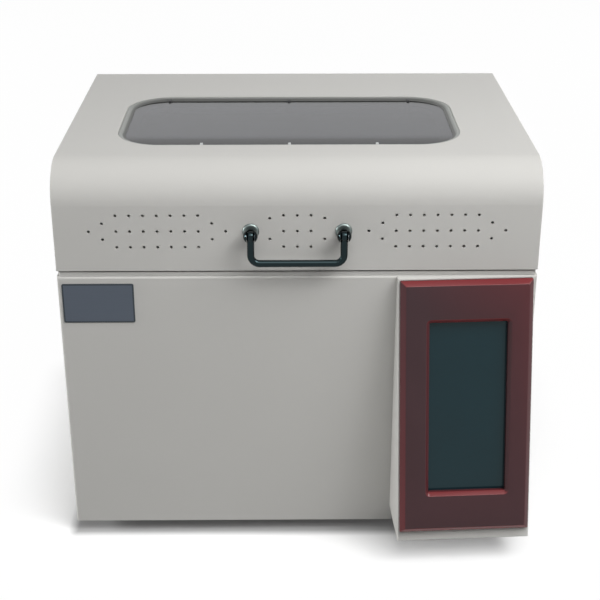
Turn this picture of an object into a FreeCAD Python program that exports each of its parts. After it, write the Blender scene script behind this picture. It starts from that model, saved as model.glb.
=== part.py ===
"""Bench-top reflow oven with a hinged, glazed lid and a sloping touch-screen column.

Units are millimetres. X points to the right as the user sees the oven, Y to the back, Z up.
The origin is on the table, in the middle of the oven's outer box.
"""

import FreeCAD, Part
import math
import os

V = FreeCAD.Vector
ORIGIN = V(0, 0, 0)
ALONG_X = V(1, 0, 0)
ALONG_Y = V(0, 1, 0)
ALONG_Z = V(0, 0, 1)

# Cabinet and lid
cabinet_width = 520.0
cabinet_depth = 388.0
base_height = 318.0
lid_height = 119.0
lid_bend_radius = 43.0
lid_rear_bend = 5.0
lid_gap = 2.0
lid_return = 12.0
panel_sheet = 1.5
liner_sheet = 1.0
bend_radius = 1.2
deck_reveal = 5.0
panel_return = 14.0
tray_flange = 25.0
panel_fit = 0.2
part_gap = 0.3
overcut = 1.0
foot_height = 15.0
foot_radius = 17.0
foot_taper = 3.0
foot_inset = 42.0
foot_recess_radius = 6.0
foot_recess_depth = 7.0
side_slots = 12
side_slot_rows = 2
side_slot_pitch = 15.0
side_slot_width = 5.0
side_slot_length = 34.0
side_slot_gap = 12.0
floor_slots = 8
floor_slot_pitch = 16.0
floor_slot_width = 6.0
floor_slot_length = 60.0

# Control column
column_width = 148.5
column_turn = 3.0
column_top_reach = 6.0
column_reach = 70.0
column_lift = 20.0
column_flange = 10.0
bezel_side_margin = 1.75
bezel_bottom_margin = 12.8
bezel_thickness = 10.0
bezel_corner = 1.5
bezel_top_corner = 0.8
bezel_bevel = 5.5
bezel_top_margin = 1.0
screen_width = 85.5
screen_length = 193.0
screen_corner = 1.5
screen_top_margin = 46.5
screen_offset = 2.0
screen_bevel = 4.0
glass_overlap = 5.0
touch_glass_thickness = 2.0
display_depth = 5.0
display_rim = 4.0
display_room = 4.0
nameplate_width = 78.0
nameplate_height = 46.0
nameplate_corner = 2.0
nameplate_thickness = 0.8
nameplate_left = 4.5
nameplate_drop = 13.0

# Lid window and lining
window_side_room = 67.0
window_inset = 20.5
window_corner = 50.0
window_offset = -8.0
seal_lip = 5.5
seal_recess = 2.4
seal_foot = 8.0
seal_foot_thickness = 2.0
glass_thickness = 4.0
pad_radius = 2.5
pad_thickness = 1.0
pad_inset = 6.0
pad_front_spacing = 97.0
pad_rear_spacing = 146.0
clamp_sheet = 2.0
clamp_reach = 14.0
clamp_rim = 14.0
inner_glass_overlap = 6.0
liner_drop = 24.0
liner_margin = 4.0
liner_flange = 14.0
liner_lift = 8.0
spacer_radius = 4.0
gasket_width = 9.0
gasket_inset = 1.0
lid_wool = 18.0

# Vent holes in the lid front
vent_radius = 1.6
vent_pitch_x = 14.6
vent_pitch_z = 17.9
vent_group_offset = 149.2
vent_columns = 7
vent_centre_columns = 3
vent_height = 47.3
vent_tip_rise = 9.0
vent_centre_tip_rise = 14.5

# Lid handle
handle_span = 99.0
handle_drop = 31.0
handle_reach = 15.0
handle_rod_radius = 3.9
handle_bend_radius = 9.5
handle_eye_radius = 4.8
handle_eye_cheek = 0.2
handle_pin_radius = 1.5
post_ball_radius = 7.8
post_stem_radius = 4.0
post_slot_gap = 0.2
post_slot_room = 1.0
stud_radius = 2.0
stud_length = 6.0
rosette_radius = 9.0
rosette_thickness = 2.6
nut_radius = 4.0
nut_height = 3.2

# Hinges and screws
hinge_inset = 85.0
hinge_length = 64.0
hinge_knuckles = 5
knuckle_radius = 5.0
knuckle_gap = 0.4
hinge_pin_radius = 2.5
hinge_leaf_height = 30.0
hinge_leaf_sheet = 2.0
hinge_screw_spacing = 22.0
hinge_screw_inset = 9.0
running_fit = 0.05
screw_radius = 1.8
screw_length = 7.0
screw_head_radius = 3.4
screw_head_height = 1.8
screw_fit = 0.3
rear_screws = 4
rear_screw_inset = 50.0
rear_screw_lift = 13.0

# Heated chamber
chamber_front_room = 55.5
chamber_depth = 120.0
chamber_corner = 8.0
chamber_flange = 16.0
wool_thickness = 25.0
casing_sheet = 1.0
casing_flange = 10.0
heater_count = 4
heater_end_room = 9.5
heater_radius = 5.0
heater_wall = 1.2
heater_height = 26.0
heater_hole_gap = 1.5
cap_radius = 9.0
cap_length = 22.0
cap_grip = 16.0
cap_room = 12.9
terminal_radius = 2.0
terminal_length = 6.0
reflector_sheet = 0.8
reflector_rise = 11.0
rack_height = 62.0
rack_rod_radius = 1.5
rack_frame_radius = 2.0
rack_bars = 13
rack_margin = 4.0
rail_sheet = 1.2
rail_width = 14.0
rail_drop = 14.0
baffle_depth = 33.0
baffle_margin = 2.0
baffle_hole_radius = 4.5
baffle_hole_pitch = 13.0
baffle_hole_rings = 3
baffle_slots = 3
baffle_slot_pitch = 22.0
baffle_slot_width = 8.0
baffle_slot_length = 70.0
baffle_slot_inset = 68.0
stay_radius = 4.0
stay_side_inset = 25.0
stay_inset = 20.0
probe_radius = 1.5
probe_x = 95.0
probe_lift = 85.0
probe_reach = 30.0
probe_fitting_radius = 6.0
probe_fitting_length = 12.0

# Hot-air fan
impeller_radius = 44.0
impeller_eye_radius = 20.0
impeller_height = 18.0
impeller_blades = 12
impeller_sheet = 1.2
impeller_hub_radius = 10.0
impeller_sweep = 35.0
impeller_setback = 6.0
fan_shaft_radius = 3.0
shaft_hole_gap = 2.0
shaft_in_motor = 26.0
motor_radius = 31.0
motor_length = 42.0
motor_cap_radius = 25.0
motor_cap_length = 5.0
motor_boss_radius = 10.0
motor_plate = 3.0
motor_plate_size = 84.0
motor_plate_corner = 8.0
motor_leg_length = 8.0
motor_leg_radius = 4.0
motor_room = 10.4

# Fume outlet
outlet_x = -95.0
outlet_drop = 48.0
duct_radius = 27.0
duct_wall = 1.0
spigot_wall = 1.5
spigot_length = 30.0
spigot_rim = 11.2
spigot_flange_thickness = 2.0

# Cooling fan in the rear panel
fan_inset = 110.0
fan_lift = 5.0
fan_size = 80.0
fan_corner = 4.0
fan_depth = 25.0
fan_flange = 4.0
fan_wall = 1.8
fan_rim = 3.0
fan_hub_radius = 17.0
fan_blades = 7
fan_blade_sheet = 1.4
fan_root_chord = 15.0
fan_tip_chord = 17.0
fan_root_pitch = 48.0
fan_tip_pitch = 28.0
fan_tip_gap = 0.8
fan_hole_inset = 4.25
fan_arm_width = 5.0
fan_plate = 3.0
fan_axle_radius = 1.5
guard_sheet = 1.2
guard_margin = 2.0
guard_corner = 6.0
guard_hole_radius = 4.0
guard_hole_pitch = 10.0
guard_hole_rings = 3

# Mains inlet and power switch
inlet_inset = 82.0
inlet_height = 78.0
inlet_width = 29.0
inlet_tall = 21.0
inlet_depth = 24.0
inlet_recess = 17.0
inlet_wall = 2.5
inlet_corner_cut = 5.0
inlet_pin_width = 2.0
inlet_pin_height = 4.0
inlet_pin_spacing = 7.0
inlet_pin_setback = 5.5
switch_inset = 128.0
switch_width = 15.0
switch_wall = 1.6
rocker_radius = 8.6
rocker_tilt = 9.0
rocker_back = 4.0
rocker_lip = 4.5
rocker_waist = 2.5
rocker_pin_radius = 1.5
rocker_pin_length = 1.0
rim_width = 2.5
rim_thickness = 2.0

# Electronics on the base tray
supply_width = 190.0
supply_length = 98.0
supply_height = 42.0
supply_side_room = 20.0
supply_setback = 150.0
supply_slots = 14
supply_slot_width = 3.0
supply_slot_length = 60.0
supply_slot_depth = 1.5
sink_width = 104.0
sink_length = 110.0
sink_height = 38.0
sink_setback = 150.0
sink_base = 8.0
sink_fins = 9
sink_fin_sheet = 2.5
relay_width = 44.0
relay_length = 58.0
relay_height = 23.0
relay_step = 8.0
relay_spacing = 50.0
board_width = 110.0
board_length = 150.0
board_sheet = 1.6
board_side_room = 28.0
board_setback = 150.0
standoff_radius = 3.0
standoff_height = 10.0
standoff_inset = 6.0
plug_width = 40.0
plug_length = 9.0
plug_height = 8.0
chip_size = 22.0
chip_height = 2.5
capacitor_radius = 6.0
capacitor_height = 18.0
strip_poles = 8
strip_pitch = 13.0
strip_length = 22.0
strip_height = 18.0
strip_wall = 2.0
strip_x = -100.0
strip_setback = 285.0

# Heights and distances that follow from the sizes above
half_width = cabinet_width / 2
inset = panel_sheet + panel_fit
z_base = foot_height
z_floor = z_base + panel_sheet
z_seam = z_base + base_height
z_top = z_seam + lid_height
z_lid = z_seam + lid_gap
z_panel_top = z_seam - deck_reveal
z_chamber = z_seam - chamber_depth
z_deck_under = z_seam - panel_sheet
z_column = z_base + column_lift
column_slope = column_reach - column_top_reach
column_ahead = math.sin(math.radians(column_turn))
column_across = math.cos(math.radians(column_turn))
column_centre = half_width - column_width / 2 * column_across - column_slope * column_ahead
column_rise = z_panel_top - z_column
column_tilt = math.atan(column_slope / column_rise)
bezel_width = column_width - 2 * bezel_side_margin
bezel_length = math.hypot(column_slope, column_rise) - bezel_top_margin - bezel_bottom_margin
bezel_foot = bezel_top_margin + bezel_length - bezel_bevel
bezel_rise = bezel_foot * math.sin(column_tilt) + bezel_thickness * math.cos(column_tilt)
bezel_reach = (column_top_reach + bezel_rise * column_across
               + (bezel_width / 2 - bezel_bevel) * column_ahead)
hinge_setback = knuckle_radius + part_gap
front_reach = max(column_reach + column_width / 2 * column_ahead, bezel_reach)
rear_reach = cabinet_depth + max(spigot_length, hinge_setback + knuckle_radius)
front_y = (front_reach - rear_reach) / 2
rear_y = front_y + cabinet_depth
hinge_y = rear_y + hinge_setback
hinge_z = z_seam + lid_gap / 2

glass_width = screen_width + 2 * glass_overlap
glass_length = screen_length + 2 * glass_overlap
glass_from_top = bezel_top_margin + screen_top_margin - glass_overlap
screen_x = column_centre + screen_offset
display_half = glass_width / 2 + display_rim + display_room
z_display_top = z_panel_top - (glass_from_top - display_rim - display_room) * math.cos(column_tilt)

wool_margin = liner_sheet + part_gap + wool_thickness
casing_margin = wool_margin + part_gap + casing_sheet
chamber_side_room = casing_margin + cap_length + terminal_length + cap_room + panel_sheet
motor_reach = motor_leg_length + motor_plate + motor_length + motor_cap_length - overcut
chamber_rear_room = casing_margin + motor_reach + motor_room + panel_sheet
chamber_width = cabinet_width - 2 * chamber_side_room
chamber_length = cabinet_depth - chamber_front_room - chamber_rear_room
chamber_front = front_y + chamber_front_room
chamber_rear = chamber_front + chamber_length
chamber_y = (chamber_front + chamber_rear) / 2
casing_half = chamber_width / 2 + casing_margin
casing_rear = chamber_rear + casing_margin
z_wool = z_chamber - wool_margin
z_casing = z_chamber - casing_margin
fan_axis_z = z_chamber + chamber_depth / 2
baffle_y = chamber_rear - baffle_depth
rack_y = (chamber_front + baffle_y) / 2
heater_pitch = (baffle_y - chamber_front - 2 * heater_end_room) / heater_count
baffle_slot_offset = chamber_width / 2 - baffle_slot_inset
stay_offset = chamber_width / 2 - stay_side_inset
rail_top = z_chamber + rack_height
heater_z = z_chamber + heater_height
probe_z = z_chamber + probe_lift
impeller_y = chamber_rear - impeller_setback
motor_front = casing_rear + motor_leg_length + motor_plate

window_width = cabinet_width - 2 * window_side_room
window_length = chamber_length - 2 * window_inset
glass_top = z_top - panel_sheet - seal_foot_thickness
glass_bottom = glass_top - glass_thickness
clamp_top = glass_bottom - pad_thickness
clamp_bottom = clamp_top - clamp_sheet
clamp_opening_width = window_width - 2 * (seal_lip + clamp_reach)
clamp_opening_length = window_length - 2 * (seal_lip + clamp_reach)
z_liner = z_seam + liner_lift
z_liner_top = z_top - liner_drop
liner_width = chamber_width + 2 * liner_margin
liner_length = chamber_length + 2 * liner_margin
liner_corner = chamber_corner + liner_margin

handle_y = front_y - handle_reach
handle_z = z_seam + vent_height
handle_eye = 2 * (handle_rod_radius + handle_eye_cheek)
post_slot = handle_eye + 2 * post_slot_gap
hinge_offset = half_width - hinge_inset
rear_screw_spacing = (cabinet_width - 2 * rear_screw_inset) / (rear_screws - 1)
outlet_height = z_seam - outlet_drop
spigot_bore = duct_radius + part_gap
spigot_radius = spigot_bore + spigot_wall
spigot_flange_radius = spigot_radius + spigot_rim
spigot_bolt_radius = (spigot_radius + spigot_flange_radius) / 2
fan_x = half_width - fan_inset
fan_height = z_base + tray_flange + fan_lift + fan_size / 2
fan_bore_radius = fan_size / 2 - fan_rim
fan_hole_pitch = fan_size - 2 * fan_hole_inset
fan_inner_y = rear_y - panel_sheet - fan_depth
inlet_x = inlet_inset - half_width
switch_x = switch_inset - half_width
rocker_y = rear_y
switch_tall = 2 * (rocker_radius + part_gap + switch_wall)
supply_x = supply_side_room + supply_width / 2 - half_width
board_x = half_width - board_side_room - board_width / 2
sink_x = (supply_x + supply_width / 2 + board_x - board_width / 2) / 2


# Shared shapes
def box(x0, x1, y0, y1, z0, z1):
    return Part.makeBox(x1 - x0, y1 - y0, z1 - z0, V(x0, y0, z0))


def rod(start, direction, radius, length):
    return Part.makeCylinder(radius, length, start, direction)


def drill(x, z, radius, y0, y1):
    """Round cutter along Y."""
    return rod(V(x, y0, z), ALONG_Y, radius, y1 - y0)


def union(shapes):
    return shapes[0].multiFuse(shapes[1:]).removeSplitter()


def group(shapes):
    """Like pieces that stay separate solids in one node."""
    return Part.makeCompound(shapes)


def rounded_rectangle(width, length, corner):
    """Flat face in XY about the origin, with round corners."""
    a = width / 2
    b = length / 2
    k = corner * (1 - math.sqrt(0.5))
    arcs = []
    for sx, sy in ((1, 1), (-1, 1), (-1, -1), (1, -1)):
        ends = [V(sx * a, sy * (b - corner), 0), V(sx * (a - corner), sy * b, 0)]
        if sx * sy < 0:
            ends.reverse()
        arcs.append((ends[0], V(sx * (a - k), sy * (b - k), 0), ends[1]))
    edges = []
    for arc, following in zip(arcs, arcs[1:] + arcs[:1]):
        edges.append(Part.Arc(*arc).toShape())
        edges.append(Part.makeLine(arc[2], following[0]))
    return Part.Face(Part.Wire(edges))


def slab(width, length, corner, z0, z1, x=0.0, y=0.0):
    """Upright plate or block with round corners between z0 and z1."""
    block = rounded_rectangle(width, length, corner).extrude(V(0, 0, z1 - z0))
    block.translate(V(x, y, z0))
    return block


def tapered_slab(lower, upper, z0, z1):
    """Block between two round-cornered outlines, each given as width, length and corner radius."""
    bottom = rounded_rectangle(*lower).OuterWire
    top = rounded_rectangle(*upper).OuterWire
    bottom.translate(V(0, 0, z0))
    top.translate(V(0, 0, z1))
    return Part.makeLoft([bottom, top], True, True)


def prism_along_x(points_yz, x0, x1):
    """Solid between x0 and x1 with the given outline in YZ."""
    outline = [V(x0, y, z) for y, z in points_yz]
    return Part.Face(Part.makePolygon(outline + outline[:1])).extrude(V(x1 - x0, 0, 0))


def revolved(points_rz):
    """Solid of revolution about Z with the given outline of radius and height."""
    outline = [V(r, 0, z) for r, z in points_rz]
    return Part.Face(Part.makePolygon(outline + outline[:1])).revolve(ORIGIN, ALONG_Z, 360)


def flat_on_front(shape, x, y, z):
    """Stands a shape drawn flat up, with its top facing the user."""
    shape.rotate(ORIGIN, ALONG_X, 90)
    shape.translate(V(x, y, z))
    return shape


def flat_on_rear(shape, x, y, z):
    """Stands a shape drawn flat up, with its top facing the back."""
    shape.rotate(ORIGIN, ALONG_X, -90)
    shape.translate(V(x, y, z))
    return shape


def screw(point, inward, length):
    """Pan-head screw whose head sits on the surface at point and whose shank runs inward."""
    shank = rod(point, inward, screw_radius, length)
    head = rod(point - inward * screw_head_height, inward, screw_head_radius, screw_head_height)
    crown = [e for e in head.Edges
             if e.Closed and (e.CenterOfMass - point).dot(inward) < -screw_head_height / 2]
    return union([head.makeFillet(screw_head_height / 2, crown), shank])


def hex_pattern(rings, pitch):
    """Centres of a honeycomb of holes: one in the middle and the given number of rings about it."""
    centres = []
    for row in range(-rings, rings + 1):
        count = 2 * rings + 1 - abs(row)
        for column in range(count):
            centres.append(((column - (count - 1) / 2) * pitch, row * pitch * math.sqrt(3) / 2))
    return centres


def spread(count, pitch):
    """Places of count copies at a pitch, about zero."""
    return [(k - (count - 1) / 2) * pitch for k in range(count)]


def four_corners(half_x, half_z):
    return [(sx * half_x, sz * half_z) for sx in (-1, 1) for sz in (-1, 1)]


# Places that several pieces share
def foot_places():
    middle_y = (front_y + rear_y) / 2
    corners = four_corners(half_width - foot_inset, cabinet_depth / 2 - foot_inset)
    return [(x, middle_y + y) for x, y in corners]


def heater_places():
    return [rack_y + offset for offset in spread(heater_count, heater_pitch)]


def stay_places():
    half = chamber_depth / 2 - stay_inset
    return [(x, fan_axis_z + z) for x, z in four_corners(stay_offset, half)]


def fan_screw_places():
    half = fan_hole_pitch / 2
    return [(fan_x + x, fan_height + z) for x, z in four_corners(half, half)]


def spigot_screw_places():
    half = spigot_bolt_radius / math.sqrt(2)
    return [(outlet_x + x, outlet_height + z) for x, z in four_corners(half, half)]


def rear_screw_places():
    return [(x, z_base + rear_screw_lift) for x in spread(rear_screws, rear_screw_spacing)]


def hinge_screw_places(side_z):
    """Screws of both hinge leaves above (1) or below (-1) the hinge axis."""
    z = hinge_z + side_z * (hinge_leaf_height - hinge_screw_inset)
    return [(hinge + x, z) for hinge in (-hinge_offset, hinge_offset) for x in spread(3, hinge_screw_spacing)]


def handle_places():
    return (-handle_span / 2, handle_span / 2)


def vent_places():
    """Centres of the lid's vent holes: three groups with ends that narrow to a point."""
    places = []
    rows = spread(3, vent_pitch_z)
    groups = ((-vent_group_offset, vent_columns, vent_tip_rise),
              (0, vent_centre_columns, vent_centre_tip_rise),
              (vent_group_offset, vent_columns, vent_tip_rise))
    for centre, columns, upper_tip in groups:
        for x in spread(columns, vent_pitch_x):
            places += [(centre + x, handle_z + z) for z in rows]
        for side in (-1, 1):
            tip = centre + side * (columns + 1) / 2 * vent_pitch_x
            places += [(tip, handle_z - vent_tip_rise), (tip, handle_z + upper_tip)]
            if centre:
                places.append((tip + side * vent_pitch_x, handle_z))
    return places


def set_on_front(shape):
    """Turns a shape drawn about the middle of the column's top edge, and sets it on the cabinet front."""
    shape.rotate(ORIGIN, ALONG_Z, column_turn)
    shape.translate(V(column_centre, front_y - column_top_reach, 0))
    return shape


def on_column(shape):
    """Moves a shape drawn flat, with the face's top edge through the origin, onto the column face."""
    shape.rotate(ORIGIN, ALONG_X, 90 - math.degrees(column_tilt))
    shape.translate(V(0, 0, z_panel_top))
    return set_on_front(shape)


def column_plate(width, length, corner, from_top, z0, z1, x=0.0):
    """Plate on the column face between z0 and z1 along its normal, from_top down the slope."""
    return on_column(slab(width, length, corner, z0, z1, x, -from_top - length / 2))


def column_face_y(z):
    """Place of the column face before it is turned, from its top edge."""
    return (z - z_panel_top) * math.tan(column_tilt)


# Cabinet shell
def cover(y_face, inward):
    """Outer panel with folded top and side edges; inward is 1 on the front and -1 on the rear."""
    y_return = y_face + inward * panel_return
    low, high = sorted((y_face, y_return))
    sheet = box(-half_width, half_width, low, high, z_base, z_panel_top)
    bends = [e for e in sheet.Edges if e.BoundBox.YLength < part_gap
             and abs(e.CenterOfMass.y - y_face) < part_gap and e.CenterOfMass.z > z_base + part_gap]
    sheet = sheet.makeFillet(panel_sheet + bend_radius, bends)
    low, high = sorted((y_face + inward * panel_sheet, y_return + inward * overcut))
    hollow = box(panel_sheet - half_width, half_width - panel_sheet, low, high,
                 z_base - panel_return, z_panel_top - panel_sheet)
    y_inner = y_face + inward * panel_sheet
    bends = [e for e in hollow.Edges if e.BoundBox.YLength < part_gap
             and abs(e.CenterOfMass.y - y_inner) < part_gap and e.CenterOfMass.z > z_base]
    return sheet.cut(hollow.makeFillet(bend_radius, bends))


def cable_window(y0, y1):
    """Opening between the column and the cabinet, wide enough for the display's back."""
    return box(screen_x - display_half, screen_x + display_half, y0, y1,
               z_column + panel_sheet + column_flange, z_display_top)


def front_panel():
    return cover(front_y, 1).cut(cable_window(front_y - overcut, front_y + panel_sheet + overcut))


def rear_panel():
    y0 = rear_y - panel_sheet - overcut
    y1 = rear_y + overcut
    openings = [drill(outlet_x, outlet_height, spigot_bore, y0, y1),
                drill(fan_x, fan_height, fan_bore_radius, y0, y1)]
    for x, width, tall in ((inlet_x, inlet_width, inlet_tall), (switch_x, switch_width, switch_tall)):
        half_x = width / 2 + part_gap
        half_z = tall / 2 + part_gap
        openings.append(box(x - half_x, x + half_x, y0, y1, inlet_height - half_z, inlet_height + half_z))
    screws = fan_screw_places() + spigot_screw_places() + rear_screw_places() + hinge_screw_places(-1)
    openings += [drill(x, z, screw_radius + screw_fit, y0, y1) for x, z in screws]
    return cover(rear_y, -1).cut(openings)


def side_panel(side):
    """Side sheet with a folded top edge and rows of vent slots; side is -1 on the left, 1 on the right."""
    y0 = front_y + panel_return + panel_fit
    y1 = rear_y - panel_return - panel_fit
    low, high = sorted((side * half_width, side * (half_width - panel_return)))
    sheet = box(low, high, y0, y1, z_base, z_panel_top)
    bends = [e for e in sheet.Edges if e.CenterOfMass.z > z_panel_top - part_gap
             and abs(e.CenterOfMass.x - side * half_width) < part_gap]
    sheet = sheet.makeFillet(panel_sheet + bend_radius, bends)
    low, high = sorted((side * (half_width - panel_sheet), side * (half_width - panel_return - overcut)))
    cutters = [box(low, high, y0 - overcut, y1 + overcut, z_base - overcut, z_panel_top - panel_sheet)]
    for row in range(side_slot_rows):
        rise = side_slot_gap + side_slot_length / 2 + row * (side_slot_length + side_slot_gap)
        z = z_base + tray_flange + rise
        for offset in spread(side_slots, side_slot_pitch):
            corner = side_slot_width / 2 - part_gap
            slot = slab(side_slot_length, side_slot_width, corner, 0, 2 * panel_return)
            slot.rotate(ORIGIN, ALONG_Y, 90)
            slot.translate(V(side * half_width - panel_return, (y0 + y1) / 2 + offset, z))
            cutters.append(slot)
    return sheet.cut(cutters)


def side_panel_left():
    return side_panel(-1)


def side_panel_right():
    return side_panel(1)


def pan(z_plate, z_edge):
    """Sheet pan just inside the outer panels: a plate at z_plate with its four edges folded to z_edge."""
    low, high = sorted((z_plate, z_edge))
    up = z_edge > z_plate
    y_middle = (front_y + rear_y) / 2
    width = cabinet_width - 2 * inset
    length = cabinet_depth - 2 * inset
    block = slab(width, length, panel_sheet + bend_radius, low, high, 0, y_middle)
    hollow = slab(width - 2 * panel_sheet, length - 2 * panel_sheet, bend_radius,
                  low + panel_sheet if up else low - overcut,
                  high + overcut if up else high - panel_sheet, 0, y_middle)
    return block.cut(hollow)


def base_tray():
    """Floor pan with holes, vent slots and pressed-in standoffs for the controller board."""
    z0 = z_base - overcut
    depth = panel_sheet + 2 * overcut
    cutters = [rod(V(x, y, z0), ALONG_Z, screw_radius + screw_fit, depth) for x, y in foot_places()]
    y0 = rear_y - inset - panel_sheet - overcut
    cutters += [drill(x, z, screw_radius + screw_fit, y0, rear_y) for x, z in rear_screw_places()]
    y = front_y + sink_setback + sink_length / 2 + floor_slot_length
    for offset in spread(floor_slots, floor_slot_pitch):
        cutters.append(slab(floor_slot_width, floor_slot_length, floor_slot_width / 2 - part_gap,
                            z0, z0 + depth, sink_x + offset, y))
    posts = [rod(V(x, y, z_base), ALONG_Z, standoff_radius, panel_sheet + standoff_height)
             for x, y in standoff_places()]
    return union([pan(z_base, z_base + tray_flange).cut(cutters)] + posts)


def top_deck():
    margin = 2 * (liner_sheet + part_gap)
    mouth = slab(chamber_width + margin, chamber_length + margin, chamber_corner + liner_sheet + part_gap,
                 z_panel_top, z_seam + overcut, 0, chamber_y)
    return pan(z_seam, z_panel_top + panel_fit).cut(mouth)


def feet():
    hole = screw_radius + screw_fit
    outline = [(hole, foot_recess_depth), (foot_recess_radius, foot_recess_depth), (foot_recess_radius, 0),
               (foot_radius - foot_taper, 0), (foot_radius, foot_taper),
               (foot_radius, foot_height), (hole, foot_height)]
    pieces = []
    for x, y in foot_places():
        foot = revolved(outline)
        foot.translate(V(x, y, 0))
        pieces.append(foot)
    return group(pieces)


def cabinet_screws():
    """Every screw of the cabinet: feet, rear panel, spigot, fan and the lower hinge leaves."""
    length = foot_height - foot_recess_depth + screw_length
    pieces = [screw(V(x, y, foot_recess_depth), ALONG_Z, length) for x, y in foot_places()]
    on_rear = ((rear_screw_places(), 0), (spigot_screw_places(), spigot_flange_thickness),
               (fan_screw_places(), guard_sheet), (hinge_screw_places(-1), hinge_leaf_sheet))
    for places, seat in on_rear:
        pieces += [screw(V(x, rear_y + seat, z), -ALONG_Y, screw_length) for x, z in places]
    return group(pieces)


def nameplate():
    plate = slab(nameplate_width, nameplate_height, nameplate_corner, 0, nameplate_thickness)
    x = nameplate_left - half_width + nameplate_width / 2
    return flat_on_front(plate, x, front_y, z_seam - nameplate_drop - nameplate_height / 2)


# Control column
def control_column():
    back = front_y - panel_fit
    half = column_width / 2
    outline = [(half, z_panel_top), (column_face_y(z_panel_top), z_panel_top),
               (column_face_y(z_column), z_column), (half, z_column)]
    wedge = prism_along_x(outline, -half, half)
    edges = [e for e in wedge.Edges if all(abs(v.Y - column_face_y(v.Z)) < part_gap for v in e.Vertexes)
             and e.CenterOfMass.z < z_panel_top - part_gap]
    wedge = wedge.makeFillet(bend_radius, edges)
    wall = panel_sheet / math.cos(column_tilt)
    z0 = z_column + panel_sheet
    inside = [(column_face_y(z0) + wall, z0), (column_face_y(z_panel_top) + wall, z_panel_top),
              (half, z_panel_top), (half, z0)]
    hollow = set_on_front(prism_along_x(inside, panel_sheet - half, half - panel_sheet))
    behind = box(-cabinet_width, cabinet_width, back, rear_y, 0, z_top)
    limits = box(-cabinet_width, cabinet_width, front_y - cabinet_depth, back - panel_sheet,
                 0, z_panel_top - panel_sheet)
    cutout = column_plate(glass_width + 2 * part_gap, glass_length + 2 * part_gap, screen_corner + part_gap,
                          glass_from_top - part_gap, -2 * panel_sheet, overcut, screen_offset)
    window = cable_window(back - 2 * panel_sheet, front_y)
    return set_on_front(wedge).cut([behind, hollow.common(limits), window, cutout])


def bezel():
    edge = bezel_thickness - bezel_bevel
    rim = 2 * bezel_bevel
    plate = slab(bezel_width, bezel_length, bezel_corner, 0, edge)
    bevel = tapered_slab((bezel_width, bezel_length, bezel_corner),
                         (bezel_width - rim, bezel_length - rim, bezel_top_corner), edge, bezel_thickness)
    plate = union([plate, bevel])
    plate.translate(V(0, -bezel_top_margin - bezel_length / 2, 0))
    flare = 2 * screen_bevel
    opening = slab(screen_width, screen_length, screen_corner, -overcut, bezel_thickness)
    funnel = tapered_slab((screen_width, screen_length, screen_corner),
                          (screen_width + flare, screen_length + flare, screen_corner + screen_bevel),
                          bezel_thickness - screen_bevel, bezel_thickness)
    for cutter in (opening, funnel):
        cutter.translate(V(screen_offset, -bezel_top_margin - screen_top_margin - screen_length / 2, 0))
    return on_column(plate.cut([opening, funnel]))


def touch_glass():
    return column_plate(glass_width, glass_length, screen_corner, glass_from_top,
                        -panel_fit - touch_glass_thickness, -panel_fit, screen_offset)


def display_module():
    rim = 2 * display_rim
    glass_back = -2 * panel_fit - touch_glass_thickness
    block = column_plate(glass_width + rim, glass_length + rim, display_rim, glass_from_top - display_rim,
                         glass_back - display_depth, -panel_sheet - panel_fit, screen_offset)
    pocket = column_plate(glass_width + 2 * part_gap, glass_length + 2 * part_gap, screen_corner + part_gap,
                          glass_from_top - part_gap, glass_back, overcut, screen_offset)
    return block.cut(pocket)


# Heated chamber
def chamber_block(margin, z0, z1):
    """Upright block that stands margin outside the inner face of the chamber wall."""
    return slab(chamber_width + 2 * margin, chamber_length + 2 * margin, chamber_corner + margin,
                z0, z1, 0, chamber_y)


def chamber_holes(y_far):
    """Cutters for what passes through the chamber walls: heaters, fan shaft, fume duct and probe."""
    reach = casing_half + overcut
    cutters = [rod(V(-reach, y, heater_z), ALONG_X, heater_radius + heater_hole_gap, 2 * reach)
               for y in heater_places()]
    y0 = chamber_rear - overcut
    cutters.append(drill(0, fan_axis_z, fan_shaft_radius + shaft_hole_gap, y0, y_far))
    cutters.append(drill(outlet_x, outlet_height, duct_radius + part_gap, y0, y_far))
    cutters.append(drill(probe_x, probe_z, probe_radius + part_gap, y0, y_far))
    return cutters


def chamber_tub():
    wall = chamber_block(liner_sheet, z_chamber - liner_sheet, z_seam)
    flange = chamber_block(chamber_flange, z_seam, z_seam + liner_sheet)
    hollow = chamber_block(0, z_chamber, z_seam + 2 * liner_sheet)
    tub = union([wall, flange]).cut(hollow)
    return tub.cut(chamber_holes(chamber_rear + 2 * liner_sheet))


def chamber_insulation():
    block = chamber_block(wool_margin, z_wool, z_deck_under - part_gap)
    hollow = chamber_block(liner_sheet + part_gap, z_chamber - liner_sheet - part_gap, z_seam)
    return block.cut([hollow] + chamber_holes(casing_rear))


def chamber_casing():
    wall = chamber_block(casing_margin, z_casing, z_deck_under)
    flange = chamber_block(casing_margin + casing_flange, z_deck_under - casing_sheet, z_deck_under)
    hollow = chamber_block(casing_margin - casing_sheet, z_casing + casing_sheet, z_seam)
    return union([wall, flange]).cut([hollow] + chamber_holes(casing_rear + overcut))


def heater_tubes():
    reach = casing_half + cap_grip
    pieces = []
    for y in heater_places():
        start = V(-reach, y, heater_z)
        bore = rod(start, ALONG_X, heater_radius - heater_wall, 2 * reach)
        pieces.append(rod(start, ALONG_X, heater_radius, 2 * reach).cut(bore))
    return group(pieces)


def heater_caps():
    pieces = []
    for side in (-1, 1):
        for y in heater_places():
            outward = ALONG_X * side
            seat = V(side * casing_half, y, heater_z)
            body = rod(seat, outward, cap_radius, cap_length)
            socket = rod(seat, outward, heater_radius + part_gap, cap_grip + part_gap)
            terminal = rod(seat + outward * cap_length, outward, terminal_radius, terminal_length)
            pieces.append(union([body.cut(socket), terminal]))
    return group(pieces)


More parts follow.
